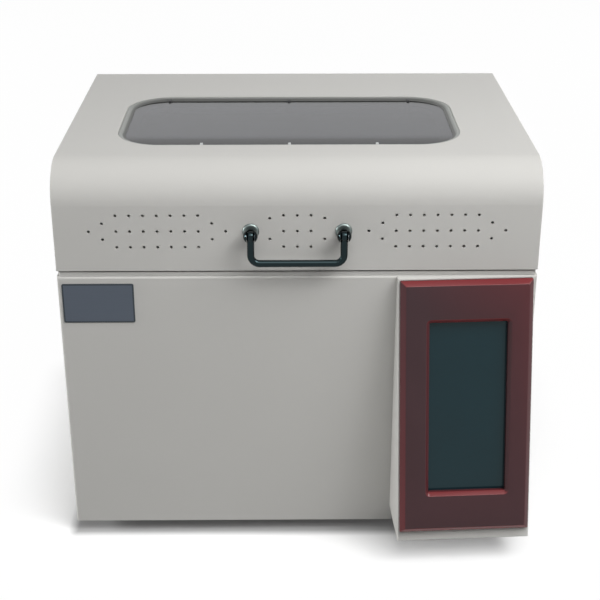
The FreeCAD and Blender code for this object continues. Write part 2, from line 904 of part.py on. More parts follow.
def heater_reflector():
    """Folded sheet with a trough under each heater, standing on the chamber floor."""
    low = z_chamber + part_gap
    line = [(heater_places()[0] - heater_pitch / 2, low + reflector_rise)]
    for y in heater_places():
        line += [(y, low), (y + heater_pitch / 2, low + reflector_rise)]
    upper = [(y, z + reflector_sheet) for y, z in reversed(line)]
    half = chamber_width / 2 - chamber_corner
    return prism_along_x(line + upper, -half, half)


def rack_rails():
    y0 = chamber_front + chamber_corner
    y1 = baffle_y - liner_sheet - rack_margin
    wall = chamber_width / 2
    pieces = []
    for side in (-1, 1):
        x0, x1 = sorted((side * wall, side * (wall - rail_sheet)))
        upright = box(x0, x1, y0, y1, rail_top - rail_drop, rail_top)
        x0, x1 = sorted((side * wall, side * (wall - rail_width)))
        ledge = box(x0, x1, y0, y1, rail_top - rail_sheet, rail_top)
        pieces.append(union([upright, ledge]))
    return group(pieces)


def board_rack():
    z = rail_top + part_gap + rack_frame_radius
    length = baffle_y - liner_sheet - chamber_front - 2 * rack_margin
    y_middle = chamber_front + rack_margin + length / 2
    inner = 2 * rack_frame_radius
    width = chamber_width - 2 * rack_margin - inner
    path = rounded_rectangle(width, length - inner, chamber_corner).OuterWire
    path.translate(V(0, y_middle, z))
    section = Part.Wire(Part.makeCircle(rack_frame_radius, path.Edges[0].Vertexes[0].Point, ALONG_Y))
    frame = path.makePipeShell([section], True, False)
    reach = length / 2 - rack_frame_radius
    pitch = (width - 2 * chamber_corner) / (rack_bars - 1)
    bars = [rod(V(x, y_middle - reach, z), ALONG_Y, rack_rod_radius, 2 * reach)
            for x in spread(rack_bars, pitch)]
    return union([frame] + bars)


def baffle_plate():
    half = chamber_width / 2 - baffle_margin
    y0 = baffle_y - liner_sheet
    plate = box(-half, half, y0, baffle_y, z_chamber + baffle_margin, z_seam - baffle_margin)
    y0 -= overcut
    y1 = baffle_y + overcut
    cutters = [drill(x, fan_axis_z + z, baffle_hole_radius, y0, y1)
               for x, z in hex_pattern(baffle_hole_rings, baffle_hole_pitch)]
    for side in (-1, 1):
        for offset in spread(baffle_slots, baffle_slot_pitch):
            slot = slab(baffle_slot_width, baffle_slot_length, baffle_slot_width / 2 - part_gap, 0, y1 - y0)
            cutters.append(flat_on_rear(slot, side * baffle_slot_offset + offset, y0, fan_axis_z))
    cutters.append(drill(probe_x, probe_z, probe_radius + part_gap, y0, y1))
    return plate.cut(cutters)


def baffle_stays():
    return group([drill(x, z, stay_radius, baffle_y, chamber_rear) for x, z in stay_places()])


def thermocouple():
    probe = drill(probe_x, probe_z, probe_radius, baffle_y - probe_reach, casing_rear + probe_fitting_length)
    fitting = drill(probe_x, probe_z, probe_fitting_radius, casing_rear, casing_rear + probe_fitting_length)
    return union([probe, fitting])


# Hot-air fan
def impeller_blade():
    """One curved blade, drawn flat: an arc from the eye to the rim, swept back, with an even thickness."""
    def point(radius, angle):
        return V(radius * math.cos(angle), radius * math.sin(angle), 0)

    middle_radius = (impeller_eye_radius + impeller_radius) / 2
    sweep = math.radians(impeller_sweep)
    radii_angles = ((impeller_eye_radius, 0), (middle_radius, sweep * 0.35), (impeller_radius, sweep))
    lead = [point(r, a) for r, a in radii_angles]
    trail = [point(r, a + impeller_sheet / r) for r, a in reversed(radii_angles)]
    edges = [Part.Arc(*lead).toShape(), Part.makeLine(lead[2], trail[0]),
             Part.Arc(*trail).toShape(), Part.makeLine(trail[2], lead[0])]
    return Part.Face(Part.Wire(edges)).extrude(V(0, 0, impeller_height))


def convection_impeller():
    pieces = [rod(ORIGIN, ALONG_Z, impeller_radius, impeller_sheet),
              rod(ORIGIN, ALONG_Z, impeller_hub_radius, impeller_height)]
    for k in range(impeller_blades):
        blade = impeller_blade()
        blade.rotate(ORIGIN, ALONG_Z, 360 / impeller_blades * k)
        pieces.append(blade)
    bore = rod(V(0, 0, -overcut), ALONG_Z, fan_shaft_radius + running_fit, impeller_height + 2 * overcut)
    return flat_on_front(union(pieces).cut(bore), 0, impeller_y, fan_axis_z)


def fan_shaft():
    return drill(0, fan_axis_z, fan_shaft_radius, impeller_y - impeller_height, motor_front + shaft_in_motor)


def fan_motor():
    body = drill(0, fan_axis_z, motor_radius, motor_front, motor_front + motor_length)
    rim = [e for e in body.Edges if e.Closed]
    body = body.makeFillet(bend_radius, rim)
    boss = drill(0, fan_axis_z, motor_boss_radius, motor_front - motor_plate, motor_front + motor_plate)
    y = motor_front + motor_length - overcut
    cap = drill(0, fan_axis_z, motor_cap_radius, y, y + motor_cap_length)
    bore = drill(0, fan_axis_z, fan_shaft_radius + running_fit, motor_front - motor_plate - overcut,
                 motor_front + shaft_in_motor + part_gap)
    return union([body, boss, cap]).cut(bore)


def motor_bracket():
    plate = slab(motor_plate_size, motor_plate_size, motor_plate_corner, 0, motor_plate)
    plate = flat_on_rear(plate, 0, motor_front - motor_plate, fan_axis_z)
    hole = drill(0, fan_axis_z, motor_boss_radius + part_gap, casing_rear, motor_front + overcut)
    half = motor_plate_size / 2 - motor_plate_corner
    legs = [drill(x, fan_axis_z + z, motor_leg_radius, casing_rear, motor_front - motor_plate)
            for x, z in four_corners(half, half)]
    return union([plate.cut(hole)] + legs)


# Fume outlet
def exhaust_duct():
    y1 = rear_y + spigot_flange_thickness
    bore = drill(outlet_x, outlet_height, duct_radius - duct_wall, chamber_rear - overcut, y1 + overcut)
    return drill(outlet_x, outlet_height, duct_radius, chamber_rear, y1).cut(bore)


def exhaust_spigot():
    flange = drill(outlet_x, outlet_height, spigot_flange_radius, rear_y, rear_y + spigot_flange_thickness)
    collar = drill(outlet_x, outlet_height, spigot_radius, rear_y, rear_y + spigot_length)
    y0 = rear_y - overcut
    cutters = [drill(outlet_x, outlet_height, spigot_bore, y0, rear_y + spigot_length + overcut)]
    cutters += [drill(x, z, screw_radius + screw_fit, y0, rear_y + spigot_flange_thickness + overcut)
                for x, z in spigot_screw_places()]
    return union([flange, collar]).cut(cutters)


# Cooling fan
def cooling_fan_frame():
    body = slab(fan_size, fan_size, fan_corner, 0, fan_depth)
    waist = slab(fan_size + overcut, fan_size + overcut, fan_corner, fan_flange, fan_depth - fan_flange)
    waist = waist.cut(rod(ORIGIN, ALONG_Z, fan_bore_radius + fan_wall, fan_depth))
    body = body.cut([waist, rod(V(0, 0, -overcut), ALONG_Z, fan_bore_radius, fan_depth + 2 * overcut)])
    reach = fan_bore_radius + fan_wall / 2
    half = fan_arm_width / 2
    arms = [box(-reach, reach, -half, half, 0, fan_plate), box(-half, half, -reach, reach, 0, fan_plate)]
    hub = rod(ORIGIN, ALONG_Z, fan_hub_radius, fan_plate)
    cutters = [rod(V(0, 0, -overcut), ALONG_Z, fan_axle_radius + running_fit, fan_plate + 2 * overcut)]
    half = fan_hole_pitch / 2
    cutters += [rod(V(x, y, -overcut), ALONG_Z, screw_radius + screw_fit, fan_depth + 2 * overcut)
                for x, y in four_corners(half, half)]
    return flat_on_rear(union([body, hub] + arms).cut(cutters), fan_x, fan_inner_y, fan_height)


def fan_blade_section(radius, chord, pitch):
    """Closed outline of a blade at one radius: a thin strip across the air stream, turned by its pitch."""
    along = V(0, math.cos(math.radians(pitch)), math.sin(math.radians(pitch))) * (chord / 2)
    across = V(0, -math.sin(math.radians(pitch)), math.cos(math.radians(pitch))) * (fan_blade_sheet / 2)
    middle = V(radius, 0, (fan_plate + fan_depth) / 2)
    corners = [middle + along + across, middle - along + across,
               middle - along - across, middle + along - across]
    return Part.makePolygon(corners + corners[:1])


def cooling_fan_rotor():
    root = fan_blade_section(fan_hub_radius - fan_wall, fan_root_chord, fan_root_pitch)
    tip = fan_blade_section(fan_bore_radius - fan_tip_gap, fan_tip_chord, fan_tip_pitch)
    low = fan_plate + part_gap
    hub = rod(V(0, 0, low), ALONG_Z, fan_hub_radius, fan_depth - low - fan_wall)
    axle = rod(ORIGIN, ALONG_Z, fan_axle_radius, fan_depth / 2)
    pieces = [hub, axle]
    for k in range(fan_blades):
        blade = Part.makeLoft([root, tip], True, True)
        blade.rotate(ORIGIN, ALONG_Z, 360 / fan_blades * k)
        pieces.append(blade)
    return flat_on_rear(union(pieces), fan_x, fan_inner_y, fan_height)


def fan_guard():
    size = fan_size + 2 * guard_margin
    plate = slab(size, size, guard_corner, 0, guard_sheet)
    half = fan_hole_pitch / 2
    holes = [(x, y, guard_hole_radius) for x, y in hex_pattern(guard_hole_rings, guard_hole_pitch)]
    holes += [(x, y, screw_radius + screw_fit) for x, y in four_corners(half, half)]
    plate = plate.cut([rod(V(x, y, -overcut), ALONG_Z, r, guard_sheet + 2 * overcut) for x, y, r in holes])
    return flat_on_rear(plate, fan_x, rear_y, fan_height)


# Mains inlet and power switch
def mains_inlet():
    half_x = inlet_width / 2
    half_z = inlet_tall / 2
    body = box(-half_x, half_x, -half_z, half_z, rim_thickness - inlet_depth, rim_thickness)
    rim = slab(inlet_width + 2 * rim_width, inlet_tall + 2 * rim_width, rim_width, 0, rim_thickness)
    a = half_x - inlet_wall
    b = half_z - inlet_wall
    c = inlet_corner_cut
    outline = [V(-a, -b, 0), V(a, -b, 0), V(a, b - c, 0), V(a - c, b, 0), V(c - a, b, 0), V(-a, b - c, 0)]
    recess = Part.Face(Part.makePolygon(outline + outline[:1])).extrude(V(0, 0, inlet_recess + overcut))
    recess.translate(V(0, 0, rim_thickness - inlet_recess))
    pins = []
    z0 = rim_thickness - inlet_recess - overcut
    for x, y in ((-inlet_pin_spacing, 0), (inlet_pin_spacing, 0), (0, inlet_pin_height)):
        pins.append(box(x - inlet_pin_width / 2, x + inlet_pin_width / 2, y - inlet_pin_height,
                        y, z0, rim_thickness - inlet_pin_setback))
    inlet = union([union([body, rim]).cut(recess)] + pins)
    inlet.rotate(ORIGIN, ALONG_Z, 180)
    return flat_on_rear(inlet, inlet_x, rear_y, inlet_height)


def switch_housing():
    half_x = switch_width / 2
    half_z = switch_tall / 2
    inner_x = half_x - switch_wall
    depth = rocker_radius + switch_wall
    body = box(switch_x - half_x, switch_x + half_x, rocker_y - depth, rear_y + rim_thickness,
               inlet_height - half_z, inlet_height + half_z)
    rim = slab(switch_width + 2 * rim_width, switch_tall + 2 * rim_width, rim_width, 0, rim_thickness)
    rim = flat_on_rear(rim, switch_x, rear_y, inlet_height)
    room = rocker_radius + part_gap
    pocket = box(switch_x - inner_x, switch_x + inner_x, rocker_y - room, rear_y + rim_thickness + overcut,
                 inlet_height - room, inlet_height + room)
    reach = inner_x + rocker_pin_length
    start = V(switch_x - reach, rocker_y, inlet_height)
    bore = rod(start, ALONG_X, rocker_pin_radius + running_fit, 2 * reach)
    return union([body, rim]).cut([pocket, bore])


def switch_rocker():
    """Paddle with a shallow V face; every corner lies within the rocker radius about its pins."""
    def on_rim(depth):
        return math.sqrt(rocker_radius ** 2 - depth ** 2)

    half = [(-rocker_back, on_rim(rocker_back)), (0, rocker_radius), (rocker_lip, on_rim(rocker_lip))]
    outline = half + [(rocker_waist, 0)] + [(y, -z) for y, z in reversed(half)]
    half_x = switch_width / 2 - switch_wall - part_gap
    paddle = prism_along_x(outline, -half_x, half_x)
    reach = switch_width / 2 - switch_wall + rocker_pin_length - part_gap
    rocker = union([paddle, rod(V(-reach, 0, 0), ALONG_X, rocker_pin_radius, 2 * reach)])
    rocker.rotate(ORIGIN, ALONG_X, rocker_tilt)
    rocker.translate(V(switch_x, rocker_y, inlet_height))
    return rocker


# Electronics on the base tray
def block_on_tray(x, setback, width, length, z0, height):
    corner = V(x - width / 2, front_y + setback - length / 2, z_floor + z0)
    return Part.makeBox(width, length, height, corner)


def power_supply():
    case = block_on_tray(supply_x, supply_setback, supply_width, supply_length, 0, supply_height)
    y = front_y + supply_setback
    z1 = z_floor + supply_height
    pitch = supply_width / (supply_slots + 1)
    slots = [slab(supply_slot_width, supply_slot_length, supply_slot_width / 2 - part_gap,
                  z1 - supply_slot_depth, z1 + overcut, supply_x + x, y) for x in spread(supply_slots, pitch)]
    return case.cut(slots)


def relay_heatsink():
    plate = block_on_tray(sink_x, sink_setback, sink_width, sink_length, sink_height - sink_base, sink_base)
    pitch = (sink_width - sink_fin_sheet) / (sink_fins - 1)
    fins = [block_on_tray(sink_x + x, sink_setback, sink_fin_sheet, sink_length, 0, sink_height - sink_base)
            for x in spread(sink_fins, pitch)]
    return union([plate] + fins)


def solid_state_relays():
    pieces = []
    for offset in spread(2, relay_spacing):
        x = sink_x + offset
        foot = block_on_tray(x, sink_setback, relay_width, relay_length, sink_height, relay_step)
        length = relay_length - 2 * relay_step
        body = block_on_tray(x, sink_setback, relay_width, length, sink_height, relay_height)
        pieces.append(union([foot, body]))
    return group(pieces)


def standoff_places():
    half_x = board_width / 2 - standoff_inset
    half_y = board_length / 2 - standoff_inset
    return [(board_x + x, front_y + board_setback + y) for x, y in four_corners(half_x, half_y)]


def controller_board():
    top = standoff_height + board_sheet
    pieces = [block_on_tray(board_x, board_setback, board_width, board_length, standoff_height, board_sheet),
              block_on_tray(board_x, board_setback, chip_size, chip_size, top, chip_height)]
    edge = board_length / 2 - plug_length
    for side in (-1, 1):
        setback = board_setback + side * edge
        pieces.append(block_on_tray(board_x, setback, plug_width, plug_length, top, plug_height))
        centre = V(board_x + side * plug_width, front_y + board_setback, z_floor + top)
        pieces.append(rod(centre, ALONG_Z, capacitor_radius, capacitor_height))
    return union(pieces)


def terminal_block():
    width = strip_poles * strip_pitch
    body = block_on_tray(strip_x, strip_setback, width, strip_length, 0, strip_height)
    pockets = [block_on_tray(strip_x + x, strip_setback, strip_pitch - strip_wall, strip_length + overcut,
                             strip_height / 2, strip_height) for x in spread(strip_poles, strip_pitch)]
    core = block_on_tray(strip_x, strip_setback, width, strip_length / 2, 0, strip_height - strip_wall)
    return union([body.cut(pockets), core])


# Lid shell
def lid_block(margin, z0):
    """Solid of the lid's outer form, drawn in by margin on every side but the bottom, down to z0."""
    y0 = front_y + margin
    y1 = rear_y - margin
    z1 = z_top - margin
    front = lid_bend_radius - margin
    rear = lid_rear_bend - margin
    half = math.sqrt(0.5)
    x = margin - half_width
    points = [V(x, y0, z0), V(x, y0, z1 - front), V(x, y0 + front, z1), V(x, y1 - rear, z1),
              V(x, y1, z1 - rear), V(x, y1, z0)]
    front_middle = V(x, y0 + front * (1 - half), z1 - front * (1 - half))
    rear_middle = V(x, y1 - rear * (1 - half), z1 - rear * (1 - half))
    edges = [Part.makeLine(points[0], points[1]), Part.Arc(points[1], front_middle, points[2]).toShape(),
             Part.makeLine(points[2], points[3]), Part.Arc(points[3], rear_middle, points[4]).toShape(),
             Part.makeLine(points[4], points[5]), Part.makeLine(points[5], points[0])]
    return Part.Face(Part.Wire(edges)).extrude(V(-2 * x, 0, 0))


def window_block(margin, z0, z1):
    """Upright block that stands margin outside the edge of the window cut-out."""
    return slab(window_width + 2 * margin, window_length + 2 * margin, window_corner + margin,
                z0, z1, window_offset, chamber_y)


def lid_shell():
    outer = lid_block(0, z_lid)
    rims = [e for e in outer.Edges if abs(abs(e.CenterOfMass.x) - half_width) < part_gap
            and e.CenterOfMass.z > z_lid + part_gap]
    outer = outer.makeFillet(bend_radius, rims)
    y0 = front_y - overcut
    y1 = front_y + panel_sheet + overcut
    cutters = [lid_block(panel_sheet, z_lid + panel_sheet),
               box(lid_return - half_width, half_width - lid_return, front_y + lid_return,
                   rear_y - lid_return, z_lid - overcut, z_lid + panel_sheet + overcut),
               window_block(0, z_top - 2 * panel_sheet, z_top + overcut)]
    cutters += [drill(x, z, vent_radius, y0, y1) for x, z in vent_places()]
    cutters += [drill(x, handle_z, stud_radius + screw_fit, y0, y1) for x in handle_places()]
    cutters += [drill(x, z, screw_radius + screw_fit, rear_y - panel_sheet - overcut, rear_y + overcut)
                for x, z in hinge_screw_places(1)]
    return outer.cut(cutters)


def window_seal():
    """Ring with a sloping lip in the cut-out and a foot between lid sheet and glass."""
    foot = window_block(seal_foot, glass_top, z_top - panel_sheet)
    collar = window_block(-part_gap, glass_top, z_top)
    opening = window_block(-seal_lip, glass_top - overcut, z_top + overcut)
    low = (window_width - 2 * seal_lip, window_length - 2 * seal_lip, window_corner - seal_lip)
    high = (window_width - 2 * part_gap, window_length - 2 * part_gap, window_corner - part_gap)
    slope = tapered_slab(low, high, z_top - seal_recess, z_top)
    slope.translate(V(window_offset, chamber_y, 0))
    return union([foot, collar]).cut([opening, slope])


def window_glass():
    return window_block(seal_foot, glass_bottom, glass_top)


def window_pads():
    """Small pads that carry the glass on its clamp frame, along the front and the rear edge."""
    reach = window_length / 2 - seal_lip - pad_inset
    places = [(x, chamber_y - reach) for x in spread(3, pad_front_spacing)]
    places += [(x, chamber_y + reach) for x in spread(3, pad_rear_spacing)]
    return group([rod(V(window_offset + x, y, clamp_top), ALONG_Z, pad_radius, pad_thickness)
                  for x, y in places])


def window_clamp():
    """Pressed frame that holds the glass against the seal, with its rim on the underside of the lid sheet."""
    under = z_top - panel_sheet
    pocket = seal_foot + part_gap
    outer = pocket + clamp_sheet
    block = window_block(outer, clamp_bottom, under)
    rim = window_block(outer + clamp_rim, under - clamp_sheet, under)
    hollow = window_block(pocket, clamp_top, under + overcut)
    opening = window_block(-seal_lip - clamp_reach, clamp_bottom - overcut, under)
    return union([block, rim]).cut([hollow, opening])


# Lid lining
def liner_block(margin, z0, z1):
    """Upright block that stands margin outside the inner face of the liner wall."""
    return slab(liner_width + 2 * margin, liner_length + 2 * margin, liner_corner + margin,
                z0, z1, 0, chamber_y)


def lid_liner():
    wall = liner_block(liner_sheet, z_liner, z_liner_top)
    flange = liner_block(liner_sheet + liner_flange, z_liner, z_liner + liner_sheet)
    hollow = liner_block(0, z_liner - overcut, z_liner_top - liner_sheet)
    opening = window_block(-seal_lip - clamp_reach, z_liner_top - 2 * liner_sheet, z_liner_top + overcut)
    return union([wall, flange]).cut([hollow, opening])


def liner_spacers():
    """Posts that hang the liner from the window frame."""
    half_x = clamp_opening_width / 2 + clamp_reach
    half_y = clamp_opening_length / 2 + clamp_reach
    places = [(x, side * half_y) for side in (-1, 1) for x in spread(3, pad_rear_spacing)]
    places += [(-half_x, 0), (half_x, 0)]
    return group([rod(V(window_offset + x, chamber_y + y, z_liner_top), ALONG_Z, spacer_radius,
                      clamp_bottom - z_liner_top) for x, y in places])


def inner_glass():
    margin = inner_glass_overlap - seal_lip - clamp_reach
    return window_block(margin, z_liner_top, z_liner_top + glass_thickness)


def lid_insulation():
    z0 = z_liner + liner_sheet + part_gap
    gap = liner_sheet + part_gap
    block = liner_block(gap + lid_wool, z0, z_liner_top - liner_sheet)
    return block.cut(liner_block(gap, z0 - overcut, z_liner_top))


def lid_gasket():
    z0 = z_seam + liner_sheet + part_gap
    inner = liner_sheet + gasket_inset
    ring = liner_block(inner + gasket_width, z0, z_liner)
    return ring.cut(liner_block(inner, z0 - overcut, z_liner + overcut))


def lid_underplate():
    margin = panel_sheet + part_gap
    z0 = z_lid + panel_sheet
    z1 = z0 + liner_sheet
    plate = box(margin - half_width, half_width - margin, front_y + margin, rear_y - margin, z0, z1)
    beside_gasket = liner_sheet + gasket_inset + gasket_width + part_gap
    return plate.cut(liner_block(beside_gasket, z0 - overcut, z1 + overcut))


# Lid handle
def handle_posts():
    """Ball heads with a slot for the bail's eye, on a stem and a stud through the lid front."""
    pieces = []
    for x in handle_places():
        ball = Part.makeSphere(post_ball_radius, V(x, handle_y, handle_z))
        stem = drill(x, handle_z, post_stem_radius, handle_y, front_y - rosette_thickness)
        stud = drill(x, handle_z, stud_radius, handle_y, front_y + panel_sheet + stud_length)
        half = post_slot / 2
        room = handle_eye_radius + post_slot_room
        slot = box(x - half, x + half, handle_y - 2 * post_ball_radius, handle_y + room,
                   handle_z - 2 * post_ball_radius, handle_z + 2 * post_ball_radius)
        reach = 2 * post_ball_radius
        bore = rod(V(x - reach, handle_y, handle_z), ALONG_X, handle_pin_radius + running_fit, 2 * reach)
        pieces.append(union([ball, stem, stud]).cut([slot, bore]))
    return group(pieces)


def handle_rosettes():
    hole = stud_radius + screw_fit
    step = rosette_thickness / 2
    outline = [(hole, 0), (rosette_radius, 0), (rosette_radius, step),
               (rosette_radius - step, rosette_thickness), (hole, rosette_thickness)]
    return group([flat_on_front(revolved(outline), x, front_y, handle_z) for x in handle_places()])


def handle_nut(x):
    """Hexagon nut on a handle post's stud, inside the lid front."""
    y0 = front_y + panel_sheet
    turns = [k * math.pi / 3 for k in range(6)]
    corners = [V(x + nut_radius * math.cos(a), y0, handle_z + nut_radius * math.sin(a)) for a in turns]
    nut = Part.Face(Part.makePolygon(corners + corners[:1])).extrude(V(0, nut_height, 0))
    return nut.cut(drill(x, handle_z, stud_radius + running_fit, y0 - overcut, y0 + nut_height + overcut))


def handle_pins():
    reach = math.sqrt(post_ball_radius ** 2 - handle_pin_radius ** 2)
    return group([rod(V(x - reach, handle_y, handle_z), ALONG_X, handle_pin_radius, 2 * reach)
                  for x in handle_places()])


def handle_bail():
    """Round rod bent to a U that hangs from the two pins by its eyes."""
    half = handle_span / 2
    r = handle_bend_radius
    low = handle_z - handle_drop
    k = r * (1 - math.sqrt(0.5))

    def at(x, z):
        return V(x, handle_y, z)

    edges = [Part.makeLine(at(-half, handle_z), at(-half, low + r)),
             Part.Arc(at(-half, low + r), at(k - half, low + k), at(r - half, low)).toShape(),
             Part.makeLine(at(r - half, low), at(half - r, low)),
             Part.Arc(at(half - r, low), at(half - k, low + k), at(half, low + r)).toShape(),
             Part.makeLine(at(half, low + r), at(half, handle_z))]
    section = Part.Wire(Part.makeCircle(handle_rod_radius, at(-half, handle_z), ALONG_Z))
    bow = Part.Wire(edges).makePipeShell([section], True, False)
    eyes = [rod(at(x - handle_eye / 2, handle_z), ALONG_X, handle_eye_radius, handle_eye)
            for x in handle_places()]
    bores = [rod(at(x - handle_eye, handle_z), ALONG_X, handle_pin_radius + running_fit, 2 * handle_eye)
             for x in handle_places()]
    return union([bow] + eyes).cut(bores)


# Hinges
def hinge_leaf(hinge_x, side_z, first):
    """Leaf above (1) or below (-1) the axis, with every second knuckle from first on."""
    x0 = hinge_x - hinge_length / 2
    clear = knuckle_radius + knuckle_gap
    far = hinge_z + side_z * hinge_leaf_height
    z0, z1 = sorted((far, hinge_z + side_z * clear))
    y1 = rear_y + hinge_leaf_sheet
    pieces = [box(x0, x0 + hinge_length, rear_y, y1, z0, z1)]
    pitch = hinge_length / hinge_knuckles
    for k in range(first, hinge_knuckles, 2):
        a = x0 + k * pitch + knuckle_gap / 2
        length = pitch - knuckle_gap
        z0, z1 = sorted((hinge_z, hinge_z + side_z * (clear + overcut)))
        pieces.append(box(a, a + length, rear_y, y1, z0, z1))
        pieces.append(rod(V(a, hinge_y, hinge_z), ALONG_X, knuckle_radius, length))
    start = V(x0 - overcut, hinge_y, hinge_z)
    bore = rod(start, ALONG_X, hinge_pin_radius + running_fit, hinge_length + 2 * overcut)
    cutters = [drill(x, z, screw_radius + screw_fit, rear_y - overcut, y1 + overcut)
               for x, z in hinge_screw_places(side_z)]
    return union(pieces).cut([bore] + cutters)


def hinge_base_leaves():
    return group([hinge_leaf(x, -1, 0) for x in (-hinge_offset, hinge_offset)])


def hinge_lid_leaves():
    return group([hinge_leaf(x, 1, 1) for x in (-hinge_offset, hinge_offset)])


def hinge_pins():
    return group([rod(V(x - hinge_length / 2, hinge_y, hinge_z), ALONG_X, hinge_pin_radius, hinge_length)
                  for x in (-hinge_offset, hinge_offset)])


def lid_fasteners():
    """Screws of the upper hinge leaves and the nuts of the handle posts."""
    y = rear_y + hinge_leaf_sheet
    pieces = [screw(V(x, y, z), -ALONG_Y, screw_length) for x, z in hinge_screw_places(1)]
    return group(pieces + [handle_nut(x) for x in handle_places()])


PARTS = [
    base_tray, front_panel, rear_panel, side_panel_left, side_panel_right, top_deck, feet, cabinet_screws,
    nameplate, control_column, bezel, touch_glass, display_module,
    chamber_tub, chamber_insulation, chamber_casing, heater_tubes, heater_caps, heater_reflector, rack_rails,
    board_rack, baffle_plate, baffle_stays, thermocouple, convection_impeller, fan_shaft, fan_motor,
    motor_bracket, exhaust_duct, exhaust_spigot, cooling_fan_frame, cooling_fan_rotor, fan_guard,
    mains_inlet, switch_housing, switch_rocker, power_supply, relay_heatsink, solid_state_relays,
    controller_board, terminal_block,
    lid_shell, window_seal, window_glass, window_pads, window_clamp, lid_liner, liner_spacers, inner_glass,
    lid_insulation, lid_gasket, lid_underplate, lid_fasteners, handle_posts, handle_rosettes, handle_pins,
    handle_bail, hinge_base_leaves, hinge_lid_leaves, hinge_pins,
]

if __name__ == "__main__":
    os.makedirs("parts", exist_ok=True)
    for make in PARTS:
        make().exportStep("parts/" + make.__name__ + ".step")
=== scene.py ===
import bmesh
import bpy
import math
import numpy as np
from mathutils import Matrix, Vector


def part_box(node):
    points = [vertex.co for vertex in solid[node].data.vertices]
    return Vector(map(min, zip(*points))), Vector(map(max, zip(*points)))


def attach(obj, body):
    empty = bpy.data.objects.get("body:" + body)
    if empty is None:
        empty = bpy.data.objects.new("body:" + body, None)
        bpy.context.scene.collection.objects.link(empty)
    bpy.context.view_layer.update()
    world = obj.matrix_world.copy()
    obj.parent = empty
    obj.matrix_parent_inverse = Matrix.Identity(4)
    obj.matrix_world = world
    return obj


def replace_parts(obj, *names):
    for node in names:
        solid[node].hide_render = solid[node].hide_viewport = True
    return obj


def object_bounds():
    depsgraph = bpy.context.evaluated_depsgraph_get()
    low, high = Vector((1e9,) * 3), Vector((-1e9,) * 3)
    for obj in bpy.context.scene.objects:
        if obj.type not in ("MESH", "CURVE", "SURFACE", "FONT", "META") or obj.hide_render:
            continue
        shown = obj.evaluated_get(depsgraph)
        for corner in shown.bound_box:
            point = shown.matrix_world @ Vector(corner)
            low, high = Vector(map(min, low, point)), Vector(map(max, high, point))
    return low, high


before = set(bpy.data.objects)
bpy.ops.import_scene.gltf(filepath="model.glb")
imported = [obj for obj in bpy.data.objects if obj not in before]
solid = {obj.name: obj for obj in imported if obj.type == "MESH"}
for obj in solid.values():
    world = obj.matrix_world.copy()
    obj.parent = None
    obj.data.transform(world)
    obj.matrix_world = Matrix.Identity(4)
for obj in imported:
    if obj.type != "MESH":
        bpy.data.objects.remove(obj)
cad_low, cad_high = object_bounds()


# Cabinet shell
# Folded steel sheet: a base tray, a deck, four panels and the wedge that carries the controls. It is powder
# coated in one warm light grey, and the coat dries with a fine, even pebble and hardly any gloss.
MM = 0.001
PAINT = (0.500, 0.494, 0.474)
PAINT_PEBBLE_DEPTH = 0.035 * MM
NOISE_LOW, NOISE_HIGH = 0.25, 0.75


def feed(tree, value, socket):
    """Links a socket to another one, or sets it to a plain value."""
    if isinstance(value, bpy.types.NodeSocket):
        tree.links.new(value, socket)
    else:
        socket.default_value = value


def node(tree, kind, inputs, **settings):
    """One shader node: inputs maps its sockets to values or to the sockets that feed them."""
    made = tree.nodes.new("ShaderNode" + kind)
    for key, value in settings.items():
        setattr(made, key, value)
    for key, value in inputs.items():
        feed(tree, value, made.inputs[key])
    return made


def effect(name, inputs, outputs):
    """Shader node group with number inputs, given with their usual values, and number outputs."""
    tree = bpy.data.node_groups.new(name, "ShaderNodeTree")
    for label, usual in inputs.items():
        socket = tree.interface.new_socket(label, in_out="INPUT", socket_type="NodeSocketFloat")
        socket.default_value = usual
    for label in outputs:
        tree.interface.new_socket(label, in_out="OUTPUT", socket_type="NodeSocketFloat")
    given = tree.nodes.new("NodeGroupInput").outputs
    return tree, given, tree.nodes.new("NodeGroupOutput").inputs


def pebble_effect():
    """Fine noise for the pebble of a coat or moulding, and broad noise for slow changes of tone."""
    tree, given, out = effect("pebble", {"Fine": 600.0, "Broad": 6.0}, ("Height", "Tone"))
    place = node(tree, "TexCoord", {}).outputs["Object"]
    fine = node(tree, "TexNoise", {"Vector": place, "Scale": given["Fine"], "Detail": 2.0})
    broad = node(tree, "TexNoise", {"Vector": place, "Scale": given["Broad"], "Detail": 4.0})
    feed(tree, fine.outputs[0], out["Height"])
    feed(tree, broad.outputs[0], out["Tone"])
    return tree


def finish(name, sockets):
    """Material with one Principled shader whose plain socket values are given."""
    made = bpy.data.materials.new(name)
    made.use_nodes = True
    shader = made.node_tree.nodes["Principled BSDF"]
    for key, value in sockets.items():
        shader.inputs[key].default_value = value
    return made, made.node_tree, shader


def toned(tree, mask, low, high):
    """Colour that goes from low to high with a mask."""
    mix = node(tree, "Mix", {0: mask, 6: low, 7: high}, data_type="RGBA")
    return mix.outputs[2]


def mottled(tree, mask, color, tone):
    """Colour that goes from darker to lighter by a share of itself with a mask."""
    low, high = (tuple(c * factor for c in color) + (1.0,) for factor in (1 - tone, 1 + tone))
    return toned(tree, mask, low, high)


def ranged(tree, mask, low=0.0, high=1.0):
    """Number that goes from low to high as a noise mask goes through its middle half."""
    inputs = {"Value": mask, 1: NOISE_LOW, 2: NOISE_HIGH, 3: low, 4: high}
    return node(tree, "MapRange", inputs).outputs[0]


